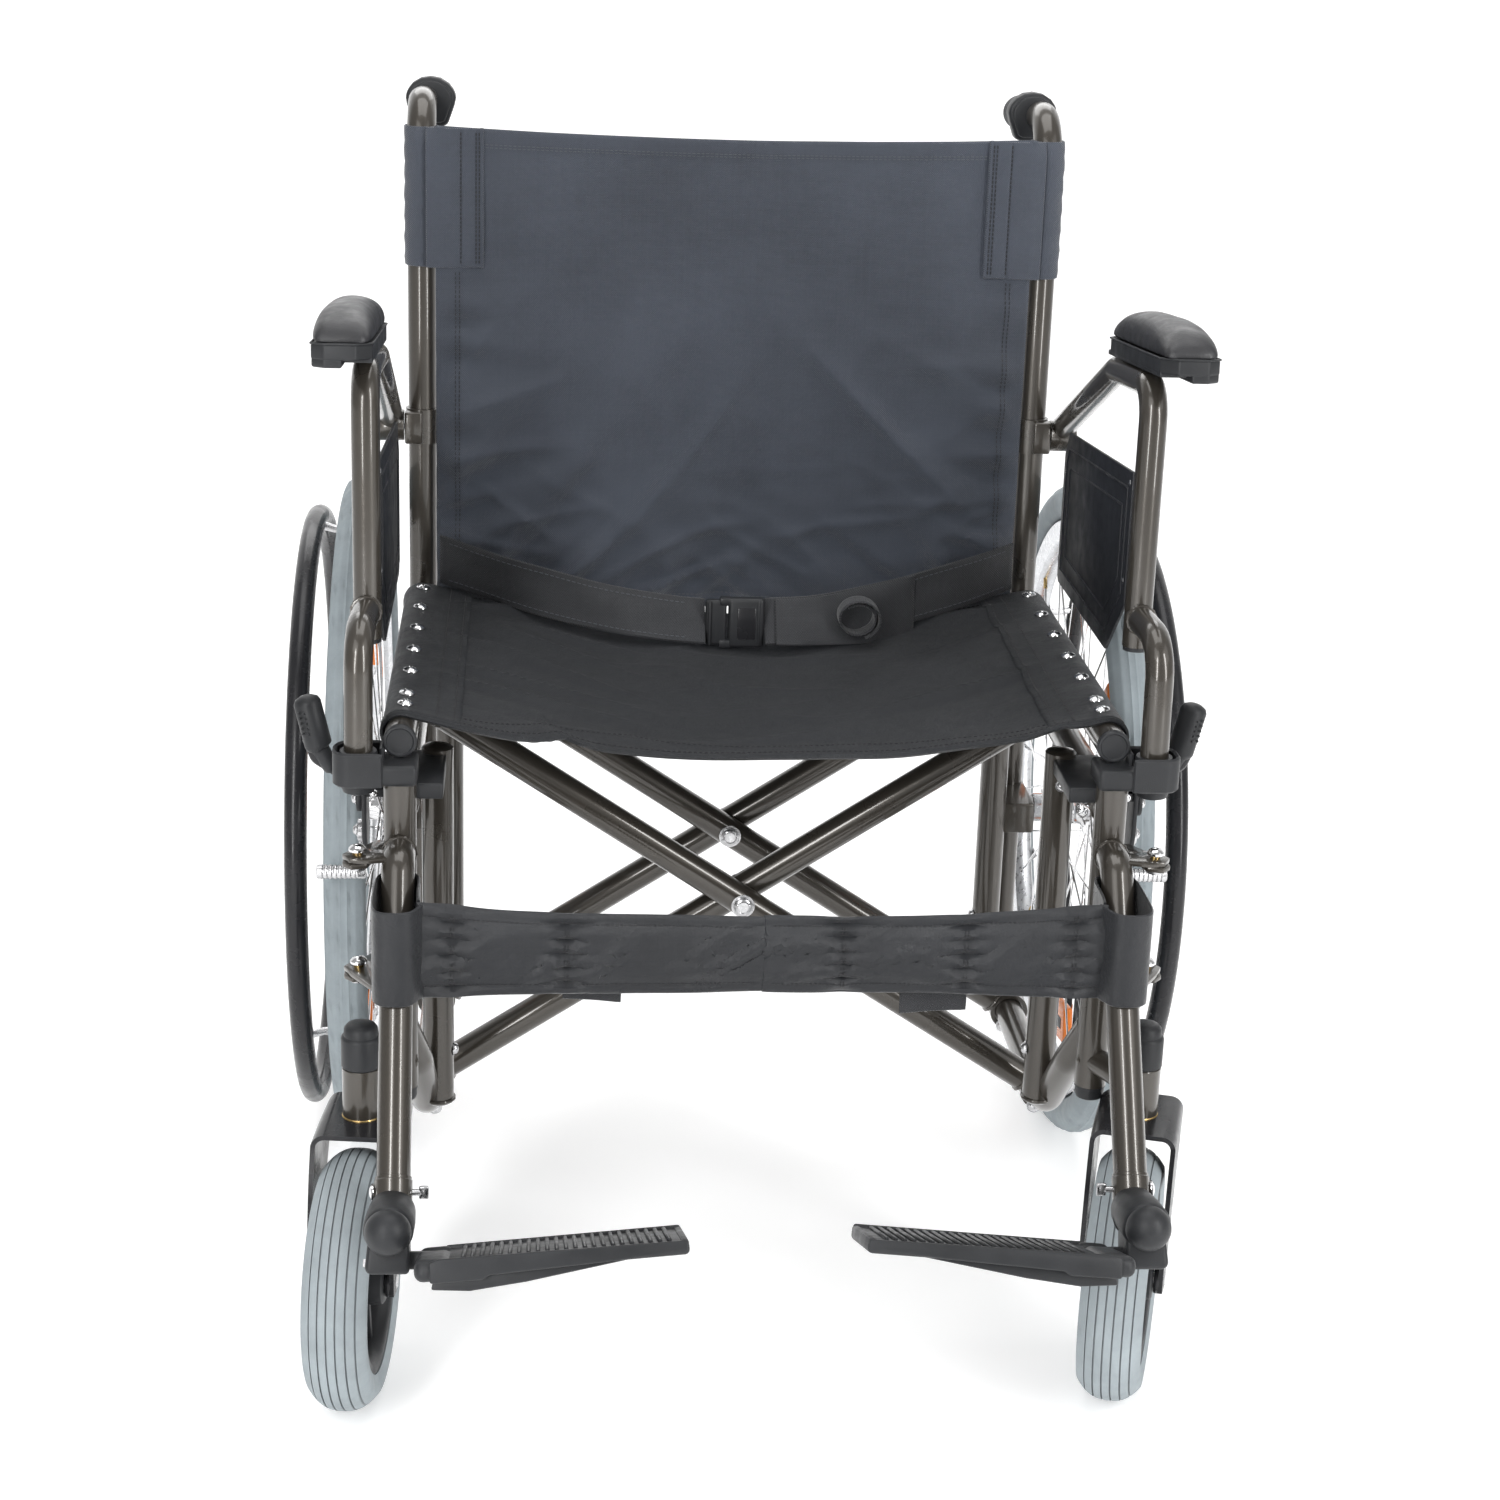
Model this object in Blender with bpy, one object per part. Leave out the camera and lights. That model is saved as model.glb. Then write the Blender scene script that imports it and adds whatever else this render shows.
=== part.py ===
"""Folding manual wheelchair, heavy-duty pattern with a double cross brace.

Metres, +Z up, floor at z = 0.  The chair faces -Y, so the occupant's left hand is on +X.
Object names end in _l for -X and _r for +X.  Paired pieces are drawn on +X and mirrored by
`hand`, which is -1 for _l and +1 for _r.  Working coordinates put the rear axle at y = 0;
the last step moves every piece by Y_SHIFT, to put the origin at the bottom centre of the
bounding box.
"""
import math
import bpy
import bmesh
from mathutils import Matrix, Vector

# ------------------------------------------------------------ driving sizes
TUBE = 0.0127          # frame tube radius (25.4 mm tube)
ARM = 0.0111           # armrest tube radius (22.2 mm tube)
TUBE_FACETS = 12
GAP = 0.0003           # gap between neighbouring pieces
PIN = 0.0040           # radius of the hinge pins and pivot bolts
BORE = 0.0045          # radius of the holes round them
PLATE = 0.004          # thickness of the swing lugs and hanger plates
X_FRAME = 0.277        # plane of the canes, uprights and seat rails
X_BASE = 0.262         # plane of the bottom rails
X_INNER = 0.2515       # plane of the inner posts
X_ARM = 0.305          # plane of the armrest tubes
X_SOCKET = 0.3085      # armrest socket
Z_BASE = 0.150         # bottom rail height, also the fold hinge height
Z_RAIL = 0.5005        # seat rail height
Z_SIDE = 0.448         # side tube height
Y_CANE = 0.035
CANE_BEND = 0.040      # radius of the cane's bend into the push handle
Z_HANDLE_BEND = 0.937
Z_HANDLE_END = 0.929
Y_HANDLE_END = 0.200
Y_FRONT = -0.42        # front upright
Y_INNER_FRONT = -0.335
Z_UPRIGHT_FOOT = 0.2155
X_CASTER = 0.3055
Y_CASTER = -0.475
Z_STEM_TOP = 0.2566    # top of the caster stem housing
CASTER_R = 0.100
CASTER_TRAIL = 0.050
CASTER_TURN = {-1: -6.0, 1: -17.0}   # degrees about +Z at rest, by hand
WHEEL_R = 0.305
X_WHEEL = 0.330
X_HANDRIM = 0.372
HANDRIM_R = 0.266
ARM_PIVOT = (0.030, 0.655)           # y, z of the armrest hinge
ARM_HINGE = (X_ARM, *ARM_PIVOT)
SWING = (0.308, -0.452)              # x, y of the hanger's upright pins
SWING_HINGE = (*SWING, 0.37)
LUG_Z = (0.414, 0.322)               # undersides of the upper and lower swing lugs
PLATE_RISE = PLATE + 0.0004          # from a lug's underside to the hanger plate's
HANGER_KNEE = (0.2768, -0.464, 0.400)
HANGER_FOOT = (0.2755, -0.590, 0.218)
FOOT_HINGE = (0.2475, -0.670, 0.191) # footplate hinge, at the middle of the plate's depth
FOOT_TILT = -23.0                    # toes up, degrees about +X
FOOT_RISE = 4.7                      # inner end up, degrees about the hinge
FOOT_LUG_Y = 0.031                   # middle of the hinge lug, from the footplate hinge
BRAKE_PIVOT = (-0.360, 0.435)        # y, z of the lever
SHOE_PIVOT = (-0.350, 0.405)         # y, z of the shoe arm
CROSS_Y = {"a": (-0.2588, -0.0888), "b": (-0.2850, -0.1150)}
Z_CROSS = Z_BASE + X_BASE * (Z_RAIL - Z_BASE) / (X_FRAME + X_BASE)   # scissor pivot
Y_SHIFT = 0.2090

WELD = 0.000004        # vertices closer than this are merged
FLAT_ANGLE = 0.0005    # radians; faces flatter than this are merged
SHARP = 32             # degrees; edges above this stay sharp

X_AXIS, Y_AXIS, Z_AXIS = (1, 0, 0), (0, 1, 0), (0, 0, 1)
SUFFIX = {-1: "_l", 1: "_r"}

# kind: base colour, metallic, roughness
MATERIALS = {
    "paint": ((0.085, 0.078, 0.070), 0.35, 0.28),
    "black": ((0.025, 0.026, 0.028), 0.0, 0.45),
    "chrome": ((0.75, 0.75, 0.75), 1.0, 0.15),
    "alloy": ((0.60, 0.61, 0.62), 0.9, 0.35),
    "tyre": ((0.46, 0.50, 0.53), 0.0, 0.75),
    "nylon": ((0.060, 0.072, 0.090), 0.0, 0.85),
    "seat": ((0.028, 0.031, 0.038), 0.0, 0.80),
    "strap": ((0.052, 0.055, 0.060), 0.0, 0.60),
    "vinyl": ((0.022, 0.022, 0.024), 0.0, 0.50),
}


# ------------------------------------------------------------------- helpers
def make_material(name, kind):
    color, metallic, roughness = MATERIALS[kind]
    material = bpy.data.materials.new(name)
    material.use_nodes = True
    inputs = material.node_tree.nodes["Principled BSDF"].inputs
    inputs["Base Color"].default_value = (*color, 1.0)
    inputs["Metallic"].default_value = metallic
    inputs["Roughness"].default_value = roughness
    material.diffuse_color = (*color, 1.0)
    return material


def mirror(point, hand):
    x, y, z = point
    return Vector((hand * x, y, z))


def arc(centre, radius, start, end, steps):
    """Points on an arc between two angles in degrees."""
    angles = [math.radians(start + (end - start) * i / steps) for i in range(steps + 1)]
    return [(centre[0] + radius * math.cos(a), centre[1] + radius * math.sin(a))
            for a in angles]


def from_bmesh(bm):
    bmesh.ops.recalc_face_normals(bm, faces=bm.faces)
    mesh = bpy.data.meshes.new("piece")
    bm.to_mesh(mesh)
    bm.free()
    piece = bpy.data.objects.new("piece", mesh)
    bpy.context.scene.collection.objects.link(piece)
    return piece


def path_frames(path):
    """Point, two untwisted normals, mitre stretch and bend direction along a path."""
    directions = [(end - start).normalized() for start, end in zip(path, path[1:])]
    previous = directions[0]
    if abs(previous.z) < 0.95:
        normal = previous.cross(Vector(Z_AXIS)).normalized()
    else:
        normal = previous.orthogonal().normalized()
    frames = []
    for i, point in enumerate(path):
        into = directions[max(i - 1, 0)]
        out = directions[min(i, len(directions) - 1)]
        tangent = (into + out).normalized()
        normal = previous.rotation_difference(tangent) @ normal
        normal = (normal - tangent * normal.dot(tangent)).normalized()
        binormal = tangent.cross(normal).normalized()
        stretch = 1 / math.cos(into.angle(out, 0.0) / 2)
        frames.append((point, normal, binormal, stretch, (out - into).normalized()))
        previous = tangent
    return frames


def tube(path, hand=1, radius=TUBE, facets=TUBE_FACETS):
    """A round bar along a path, mitred at the bends and closed at both ends."""
    bm = bmesh.new()
    rings = []
    for point, normal, binormal, stretch, bend in path_frames([mirror(p, hand) for p in path]):
        ring = []
        for i in range(facets):
            angle = 2 * math.pi * (i + 0.5) / facets
            offset = (normal * math.cos(angle) + binormal * math.sin(angle)) * radius
            offset = offset + bend * offset.dot(bend) * (stretch - 1)
            ring.append(bm.verts.new(point + offset))
        rings.append(ring)
    for near, far in zip(rings, rings[1:]):
        for i in range(facets):
            j = (i + 1) % facets
            bm.faces.new((near[i], near[j], far[j], far[i]))
    bm.faces.new(rings[0][::-1])
    bm.faces.new(rings[-1])
    return from_bmesh(bm)


def lathe(profile, origin, axis, facets, hand=1, closed=False, phase=0.0):
    """(radius, distance) pairs turned about an axis.

    closed joins the last point to the first.  hand mirrors the origin but not the axis.
    """
    axis = Vector(axis).normalized()
    normal = axis.orthogonal().normalized()
    binormal = axis.cross(normal)
    origin = mirror(origin, hand)
    angles = [2 * math.pi * i / facets + phase for i in range(facets)]
    spokes = [normal * math.cos(a) + binormal * math.sin(a) for a in angles]
    bm = bmesh.new()
    rows = []
    for radius, distance in profile:
        centre = origin + axis * distance
        if radius < 1e-9:
            rows.append([bm.verts.new(centre)])
        else:
            rows.append([bm.verts.new(centre + spoke * radius) for spoke in spokes])
    pairs = list(zip(rows, rows[1:]))
    if closed:
        pairs.append((rows[-1], rows[0]))
    for near, far in pairs:
        for i in range(facets):
            j = (i + 1) % facets
            if len(near) == 1:
                bm.faces.new((near[0], far[j], far[i]))
            elif len(far) == 1:
                bm.faces.new((near[i], near[j], far[0]))
            else:
                bm.faces.new((near[i], near[j], far[j], far[i]))
    return from_bmesh(bm)


def rod(start, end, radius, hand=1, facets=12):
    axis = mirror(end, hand) - mirror(start, hand)
    profile = [(0, 0), (radius, 0), (radius, axis.length), (0, axis.length)]
    return lathe(profile, start, axis, facets, hand)


def rod_x(x_start, x_end, place, radius, hand=1, facets=12):
    """A rod along X through place = (y, z)."""
    return rod((x_start, *place), (x_end, *place), radius, hand, facets)


def rod_z(z_start, z_end, place, radius, hand=1, facets=12):
    """A rod along Z through place = (x, y)."""
    return rod((*place, z_start), (*place, z_end), radius, hand, facets)


def wheel_ring(x, major, minor, hand, steps=40, facets=6):
    """A ring round the rear axle line, with one vertex at the very bottom."""
    bm = bmesh.new()
    rows = []
    for i in range(steps):
        around = 2 * math.pi * i / steps - math.pi / 2
        row = []
        for j in range(facets):
            angle = 2 * math.pi * j / facets
            radius = major + minor * math.cos(angle)
            row.append(bm.verts.new((hand * x + minor * math.sin(angle),
                                     radius * math.cos(around),
                                     WHEEL_R + radius * math.sin(around))))
        rows.append(row)
    for i, row in enumerate(rows):
        after = rows[(i + 1) % steps]
        for j in range(facets):
            k = (j + 1) % facets
            bm.faces.new((row[j], after[j], after[k], row[k]))
    return from_bmesh(bm)


def box(low, high, hand=1, bevel=0.0, segments=1):
    low, high = mirror(low, hand), mirror(high, hand)
    bm = bmesh.new()
    bmesh.ops.create_cube(bm, size=1.0)
    for vert in bm.verts:
        vert.co = Vector([(a + b) / 2 + c * abs(b - a) for a, b, c in zip(low, high, vert.co)])
    if bevel:
        bmesh.ops.bevel(bm, geom=bm.edges[:], offset=bevel, segments=segments,
                        profile=0.5, affect="EDGES")
    return from_bmesh(bm)


def prism(outline, plane, start, end, hand=1):
    """An outline in plane "xy", "yz" or "xz", pushed along the third axis."""
    def place(point, depth):
        a, b = point
        at = {"xy": (a, b, depth), "yz": (depth, a, b), "xz": (a, depth, b)}[plane]
        return mirror(at, hand)
    bm = bmesh.new()
    near = [bm.verts.new(place(point, start)) for point in outline]
    far = [bm.verts.new(place(point, end)) for point in outline]
    bm.faces.new(near)
    bm.faces.new(far[::-1])
    for i in range(len(outline)):
        j = (i + 1) % len(outline)
        bm.faces.new((near[i], far[i], far[j], near[j]))
    return from_bmesh(bm)


def sheet(line, thickness, plane, start, end):
    """A thin band whose section follows a line, pushed along the third axis."""
    left, right = [], []
    for i, point in enumerate(line):
        before, after = Vector(line[max(i - 1, 0)]), Vector(line[min(i + 1, len(line) - 1)])
        tangent = (after - before).normalized()
        offset = Vector((-tangent.y, tangent.x)) * thickness / 2
        left.append(tuple(Vector(point) + offset))
        right.append(tuple(Vector(point) - offset))
    return prism(left + right[::-1], plane, start, end)


def combine(target, tools, operation):
    """Apply an exact boolean with each tool in turn; the tools are used up."""
    for tool in tools:
        modifier = target.modifiers.new("boolean", "BOOLEAN")
        modifier.operation = operation
        modifier.solver = "EXACT"
        modifier.object = tool
        depsgraph = bpy.context.evaluated_depsgraph_get()
        result = bpy.data.meshes.new_from_object(target.evaluated_get(depsgraph))
        target.modifiers.clear()
        old = target.data
        target.data = result
        bpy.data.meshes.remove(old)
        bpy.data.objects.remove(tool, do_unlink=True)


def join(target, *parts):
    combine(target, parts, "UNION")


def cut(target, *tools):
    combine(target, tools, "DIFFERENCE")


def finish(piece, name, kind, pivot=(0, 0, 0), sharp=SHARP):
    """Name, weld, shade, move the origin to the pivot and add the material."""
    piece.name = name
    piece.data.name = name
    bm = bmesh.new()
    bm.from_mesh(piece.data)
    bmesh.ops.remove_doubles(bm, verts=bm.verts, dist=WELD)
    bmesh.ops.dissolve_limit(bm, angle_limit=FLAT_ANGLE, verts=bm.verts, edges=bm.edges)
    bmesh.ops.recalc_face_normals(bm, faces=bm.faces)
    for vert in bm.verts:
        vert.co = vert.co - Vector(pivot)
    for face in bm.faces:
        face.smooth = True
    for edge in bm.edges:
        edge.smooth = (len(edge.link_faces) == 2
                       and edge.calc_face_angle(0.0) < math.radians(sharp))
    bm.to_mesh(piece.data)
    bm.free()
    piece.data.materials.clear()
    piece.data.materials.append(make_material(name + "_mat", kind))
    piece.location = Vector(pivot)


def finish_pair(piece, name, kind, hand, pivot=(0, 0, 0), sharp=SHARP):
    finish(piece, name + SUFFIX[hand], kind, mirror(pivot, hand), sharp)


# ---------------------------------------------------------------- side frame
# x, y, z along the bottom rail, from the cane forward and up to the upright
BOTTOM_RAIL = [
    (X_BASE, 0.046, Z_BASE), (X_BASE, -0.312, Z_BASE), (X_BASE, -0.335, 0.161),
    (0.2635, -0.360, 0.191), (0.267, -0.384, 0.219), (0.272, -0.403, 0.240),
    (X_FRAME, -0.411, 0.262),
]
# low and high corners of the blocks welded to the frame
FRAME_BLOCKS = [
    ((0.246, -0.418, 0.4545), (0.283, -0.333, 0.4675)),   # upright to front inner post
    ((0.250, -0.039, 0.438), (0.279, -0.021, 0.4535)),    # side tube to rear inner post
    ((0.258, -0.034, WHEEL_R - 0.015), (0.2915, 0.040, WHEEL_R + 0.015)),   # axle block
    ((0.2765, ARM_PIVOT[0] - 0.016, ARM_PIVOT[1] - 0.015),                  # armrest hinge
     (0.2926, ARM_PIVOT[0] + 0.016, ARM_PIVOT[1] + 0.015)),
]
# x, y outline of a swing lug
SWING_LUG = [
    (0.281, -0.412), (0.2905, -0.424), (0.2935, -0.440), (0.300, -0.462),
    (0.312, -0.466), (0.319, -0.458), (0.319, -0.444), (0.296, -0.408),
]


def side_frame(hand):
    """Cane, bottom rail, upright, posts, blocks and lugs welded into one."""
    z_bend = Z_HANDLE_BEND - CANE_BEND
    bend = arc((Y_CANE + CANE_BEND, z_bend), CANE_BEND, 180, 90, 4)[1:]
    frame = tube([(X_FRAME, Y_CANE, Z_BASE + 0.006), (X_FRAME, Y_CANE, z_bend)]
                 + [(X_FRAME, y, z) for y, z in bend]
                 + [(X_FRAME, Y_HANDLE_END, Z_HANDLE_END)], hand)
    caster = (X_CASTER, Y_CASTER)
    parts = [
        tube(BOTTOM_RAIL, hand, TUBE * 0.998),
        tube([(X_FRAME, Y_FRONT, Z_UPRIGHT_FOOT), (X_FRAME, Y_FRONT, 0.470)], hand),
        tube([(X_FRAME, Y_FRONT + 0.002, Z_SIDE), (X_FRAME, Y_CANE - 0.002, Z_SIDE)],
             hand, TUBE * 0.99),
        tube([(X_INNER, Y_INNER_FRONT, 0.160), (X_INNER, Y_INNER_FRONT, 0.470)], hand),
        tube([(X_INNER, -0.030, 0.152), (X_INNER, -0.030, 0.456)], hand),
    ]
    parts += [box(low, high, hand) for low, high in FRAME_BLOCKS]
    parts += [
        rod_x(0.288, 0.3163, ARM_PIVOT, PIN, hand),
        # arm out to the caster, and the stem housing on its end
        tube([(X_FRAME, Y_FRONT, 0.238), (*caster, 0.236)], hand, 0.0105),
        rod_z(0.2130, Z_STEM_TOP, caster, 0.0150, hand, 16),
    ]
    for z in LUG_Z:
        parts.append(prism(SWING_LUG, "xy", z, z + PLATE, hand))
        parts.append(rod_z(z + PLATE / 2, z + 0.0155, SWING, PIN, hand))
    join(frame, *parts)
    cut(frame, rod_z(0.205, 0.262, caster, 0.0080, hand))
    finish_pair(frame, "side_frame", "paint", hand)


# (radius, height) round the armrest socket, from z = 0.476
SOCKET_PROFILE = [
    (0, -0.014), (0.0115, -0.014), (0.0155, 0.0), (0.0175, 0.004),
    (0.0175, 0.034), (0.0165, 0.036), (0, 0.036),
]


def front_saddle(hand):
    """Cradle on the upright, with the socket the armrest leg drops into."""
    saddle = box((0.2640, -0.4365, 0.4703), (0.3010, -0.396, 0.4872), hand, bevel=0.002)
    join(saddle, lathe(SOCKET_PROFILE, (X_SOCKET, Y_FRONT, 0.476), Z_AXIS, 20, hand))
    cut(saddle, rod_z(0.484, 0.53, (X_SOCKET, Y_FRONT), 0.0133, hand, 20))
    finish_pair(saddle, "front_saddle", "black", hand)


# (radius, height) tables of the two end caps
UPRIGHT_PLUG = [(0, -0.0122), (0.0095, -0.0122), (0.0118, -0.009), (0.0118, -GAP), (0, -GAP)]
CASTER_CAP = [
    (0, 0), (0.0150, 0), (0.0155, 0.004), (0.0155, 0.024), (0.0130, 0.032),
    (0.007, 0.0355), (0, 0.036),
]


def frame_caps(hand):
    plug = lathe(UPRIGHT_PLUG, (X_FRAME, Y_FRONT, Z_UPRIGHT_FOOT), Z_AXIS, TUBE_FACETS, hand)
    finish_pair(plug, "upright_plug", "black", hand)
    cap = lathe(CASTER_CAP, (X_CASTER, Y_CASTER, Z_STEM_TOP + GAP), Z_AXIS, 20, hand)
    finish_pair(cap, "caster_cap", "black", hand)


# (radius, distance) along the handle line, from where that line crosses y = 0
GRIP_PROFILE = [
    (0, 0.094), (0.0160, 0.094), (0.0160, 0.196), (0.0150, 0.204), (0.0105, 0.208), (0, 0.208),
]
GUARD_PROFILE = [
    (0, 0.0955), (0.0195, 0.0955), (0.0208, 0.098), (0.0208, 0.104), (0.0190, 0.107), (0, 0.107),
]


def push_grip(hand):
    y_bend = Y_CANE + CANE_BEND
    fall = Vector((0, Y_HANDLE_END - y_bend, Z_HANDLE_END - Z_HANDLE_BEND)).normalized()
    root = Vector((X_FRAME, 0, Z_HANDLE_BEND - y_bend * fall.z / fall.y))
    grip = lathe(GRIP_PROFILE, root, fall, 16, hand)
    join(grip, lathe(GUARD_PROFILE, root - Vector((0.005, 0, 0.002)), fall, 20, hand))
    cut(grip, rod(root + fall * 0.085, root + fall * 0.2038, 0.0134, hand, 16))
    finish_pair(grip, "push_grip", "black", hand)


# ---------------------------------------------------------------- rear wheel
WHEEL_CENTRE = (X_WHEEL, 0, WHEEL_R)
TYRE_MINOR = 0.0175
# (radius, distance along the axle) tables
RIM_PROFILE = [
    (0.2520, -0.008), (0.2640, -0.0115), (0.2694, -0.0115),
    (0.2694, 0.0115), (0.2640, 0.0115), (0.2520, 0.008),
]
HUB_PROFILE = [
    (0.0066, -0.0360), (0.0130, -0.0360), (0.0130, -0.021), (0.0270, -0.019),
    (0.0270, -0.016), (0.0150, -0.012), (0.0150, 0.012), (0.0270, 0.016),
    (0.0270, 0.019), (0.0130, 0.021), (0.0130, 0.025), (0.0066, 0.025),
]
AXLE_PROFILE = [
    (0, 0.0), (0.006, 0.0), (0.006, 0.0640), (0.0105, 0.0640),
    (0.0105, 0.0720), (0.0085, 0.0745), (0, 0.0745),
]
SPOKES = 12
SPOKE_RADII = (0.0235, 0.2500)       # inner and outer ends, from the axle
SPOKE_OFFSETS = (0.0175, 0.0035)     # the same ends, from the wheel plane
STANDOFFS = 6
STANDOFF_RING = 0.2612


def wheel_hub(hand):
    hub = lathe(HUB_PROFILE, WHEEL_CENTRE, (hand, 0, 0), 16, hand, closed=True)
    spokes = []
    for i in range(SPOKES):
        angle = 2 * math.pi * (i + 0.25) / SPOKES
        out = Vector((0, math.cos(angle), math.sin(angle)))
        flange = 1 if i % 2 else -1
        inner, outer = [Vector((X_WHEEL + flange * offset, 0, WHEEL_R)) + out * radius
                        for offset, radius in zip(SPOKE_OFFSETS, SPOKE_RADII)]
        spokes.append(rod(inner, outer, 0.0016, hand, 4))
    join(hub, *spokes)
    finish_pair(hub, "wheel_hub", "chrome", hand, WHEEL_CENTRE)


def handrim(hand):
    ring = wheel_ring(X_HANDRIM, HANDRIM_R, 0.0095, hand)
    standoffs = []
    for i in range(STANDOFFS):
        angle = 2 * math.pi * (i + 0.5) / STANDOFFS
        place = (STANDOFF_RING * math.cos(angle), WHEEL_R + STANDOFF_RING * math.sin(angle))
        standoffs.append(rod_x(X_WHEEL + 0.0119, X_HANDRIM - 0.005, place, 0.0035, hand, 8))
    join(ring, *standoffs)
    finish_pair(ring, "handrim", "black", hand, WHEEL_CENTRE)


def rear_wheel(hand):
    tyre = wheel_ring(X_WHEEL, WHEEL_R - TYRE_MINOR, TYRE_MINOR, hand)
    finish_pair(tyre, "tyre", "tyre", hand, WHEEL_CENTRE)
    rim = lathe(RIM_PROFILE, WHEEL_CENTRE, X_AXIS, 40, hand, closed=True, phase=math.pi / 2)
    finish_pair(rim, "rim", "alloy", hand, WHEEL_CENTRE)
    wheel_hub(hand)
    handrim(hand)
    axle = lathe(AXLE_PROFILE, (0.2918, 0, WHEEL_R), (hand, 0, 0), 12, hand)
    finish_pair(axle, "axle", "black", hand, WHEEL_CENTRE)


# -------------------------------------------------------------------- caster
CASTER_AXLE = (-CASTER_TRAIL, CASTER_R)   # y, z with the fork unturned
# y, z outline of a fork leg
FORK_LEG = [(0.027, 0.2105), (-0.026, 0.2105), (-0.044, 0.165)] + [
    (CASTER_AXLE[0] + y, CASTER_AXLE[1] + z)
    for y, z in ((-0.014, 0), (-0.009, -0.011), (0, -0.015), (0.009, -0.011), (0.014, 0))
]
# (radius, distance along the caster axle) tables
CASTER_TYRE = [
    (0.0720, -0.024), (0.0920, -0.0250), (CASTER_R, -0.0140),
    (CASTER_R, 0.0140), (0.0920, 0.0250), (0.0720, 0.024),
]
CASTER_HUB = [
    (0.0059, -0.0250), (0.0200, -0.0250), (0.0220, -0.0110), (0.0620, -0.0110),
    (0.0640, -0.0200), (0.0716, -0.0200), (0.0716, 0.0200), (0.0640, 0.0200),
    (0.0620, 0.0110), (0.0220, 0.0110), (0.0200, 0.0250), (0.0059, 0.0250),
]


def caster(hand):
    """Fork with its through axle, tyre and hub, drawn about the stem, then swivelled."""
    turn = (Matrix.Translation((hand * X_CASTER, Y_CASTER, 0))
            @ Matrix.Rotation(math.radians(CASTER_TURN[hand]), 4, "Z"))
    fork = rod_z(0.200, 0.2535, (0, 0), 0.0073)
    join(fork,
         box((-0.0300, -0.026, 0.2035), (0.0300, 0.028, 0.2113), bevel=0.0015),
         prism(FORK_LEG, "yz", -0.0299, -0.0259),
         prism(FORK_LEG, "yz", 0.0259, 0.0299),
         rod_x(-0.0345, 0.0345, CASTER_AXLE, 0.0055, facets=10),
         rod_x(-0.0350, -0.0298, CASTER_AXLE, 0.0095, facets=6),
         rod_x(0.0298, 0.0350, CASTER_AXLE, 0.0095, facets=6))
    fork.data.transform(turn)
    finish_pair(fork, "caster_fork", "paint", hand, (X_CASTER, Y_CASTER, 0.236))

    centre = (0, *CASTER_AXLE)
    for name, kind, profile, facets in (("caster_tyre", "tyre", CASTER_TYRE, 32),
                                        ("caster_hub", "black", CASTER_HUB, 16)):
        piece = lathe(profile, centre, X_AXIS, facets, closed=True, phase=math.pi / 2)
        piece.data.transform(turn)
        finish(piece, name + SUFFIX[hand], kind, turn @ Vector(centre))


# ---------------------------------------------------------- flip-back armrest
# x, y, z along the main tube: front leg, top rail, fall to the hinge
ARM_PATH = [(X_ARM, y, z) for y, z in (
    (-0.340, 0.562), (-0.340, 0.746), (-0.333, 0.7625), (-0.318, 0.7690),
    (-0.208, 0.7594), (-0.192, 0.7560), (-0.178, 0.7505), (0.0262, 0.6635))]
# x, y, z along the step from the front leg forward and down into the socket
STEP_PATH = [
    (X_ARM, -0.342, 0.586), (0.306, -0.385, 0.586), (0.3075, -0.405, 0.578),
    (X_SOCKET, -0.417, 0.560), (X_SOCKET, Y_FRONT, 0.540), (X_SOCKET, Y_FRONT, 0.487),
]
# y, z outline
SIDE_PANEL = [
    (-0.3284, 0.700), (-0.3284, 0.592), (-0.268, 0.538), (-0.048, 0.538),
    (-0.045, 0.542), (-0.045, 0.655), (-0.060, 0.6765),
]


def armrest(hand):
    rest = tube(ARM_PATH, hand, ARM)
    join(rest, tube(STEP_PATH, hand, ARM), rod_x(0.2932, 0.3165, ARM_PIVOT, 0.0140, hand, 14))
    cut(rest, rod_x(0.285, 0.33, ARM_PIVOT, BORE, hand))
    finish_pair(rest, "armrest_tube", "paint", hand, ARM_HINGE)

    # base and pad lie on the top rail, which falls 5 degrees to the rear
    lie = Matrix.Translation((0, -0.340, 0.7710)) @ Matrix.Rotation(math.radians(-5), 4, "X")
    base = box((0.2955, -0.065, 0.0116), (0.3415, 0.148, 0.0260), hand, bevel=0.002)
    pad = box((0.2938, -0.072, 0.0260 + GAP), (0.3438, 0.155, 0.0520), hand,
              bevel=0.010, segments=3)
    for piece in (base, pad):
        piece.data.transform(lie)
    finish_pair(base, "armrest_base", "black", hand, ARM_HINGE)
    finish_pair(pad, "armrest_pad", "vinyl", hand, ARM_HINGE, sharp=60)
    panel = prism(SIDE_PANEL, "yz", 0.2945, 0.2985, hand)
    finish_pair(panel, "side_panel", "black", hand, ARM_HINGE)


# -------------------------------------------- swing-away hanger and footplate
HANGER_PATH = [
    (X_FRAME, -0.4345, 0.417), (X_FRAME, -0.447, 0.417), (X_FRAME, -0.4565, 0.4115),
    HANGER_KNEE, HANGER_FOOT,
]
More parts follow.
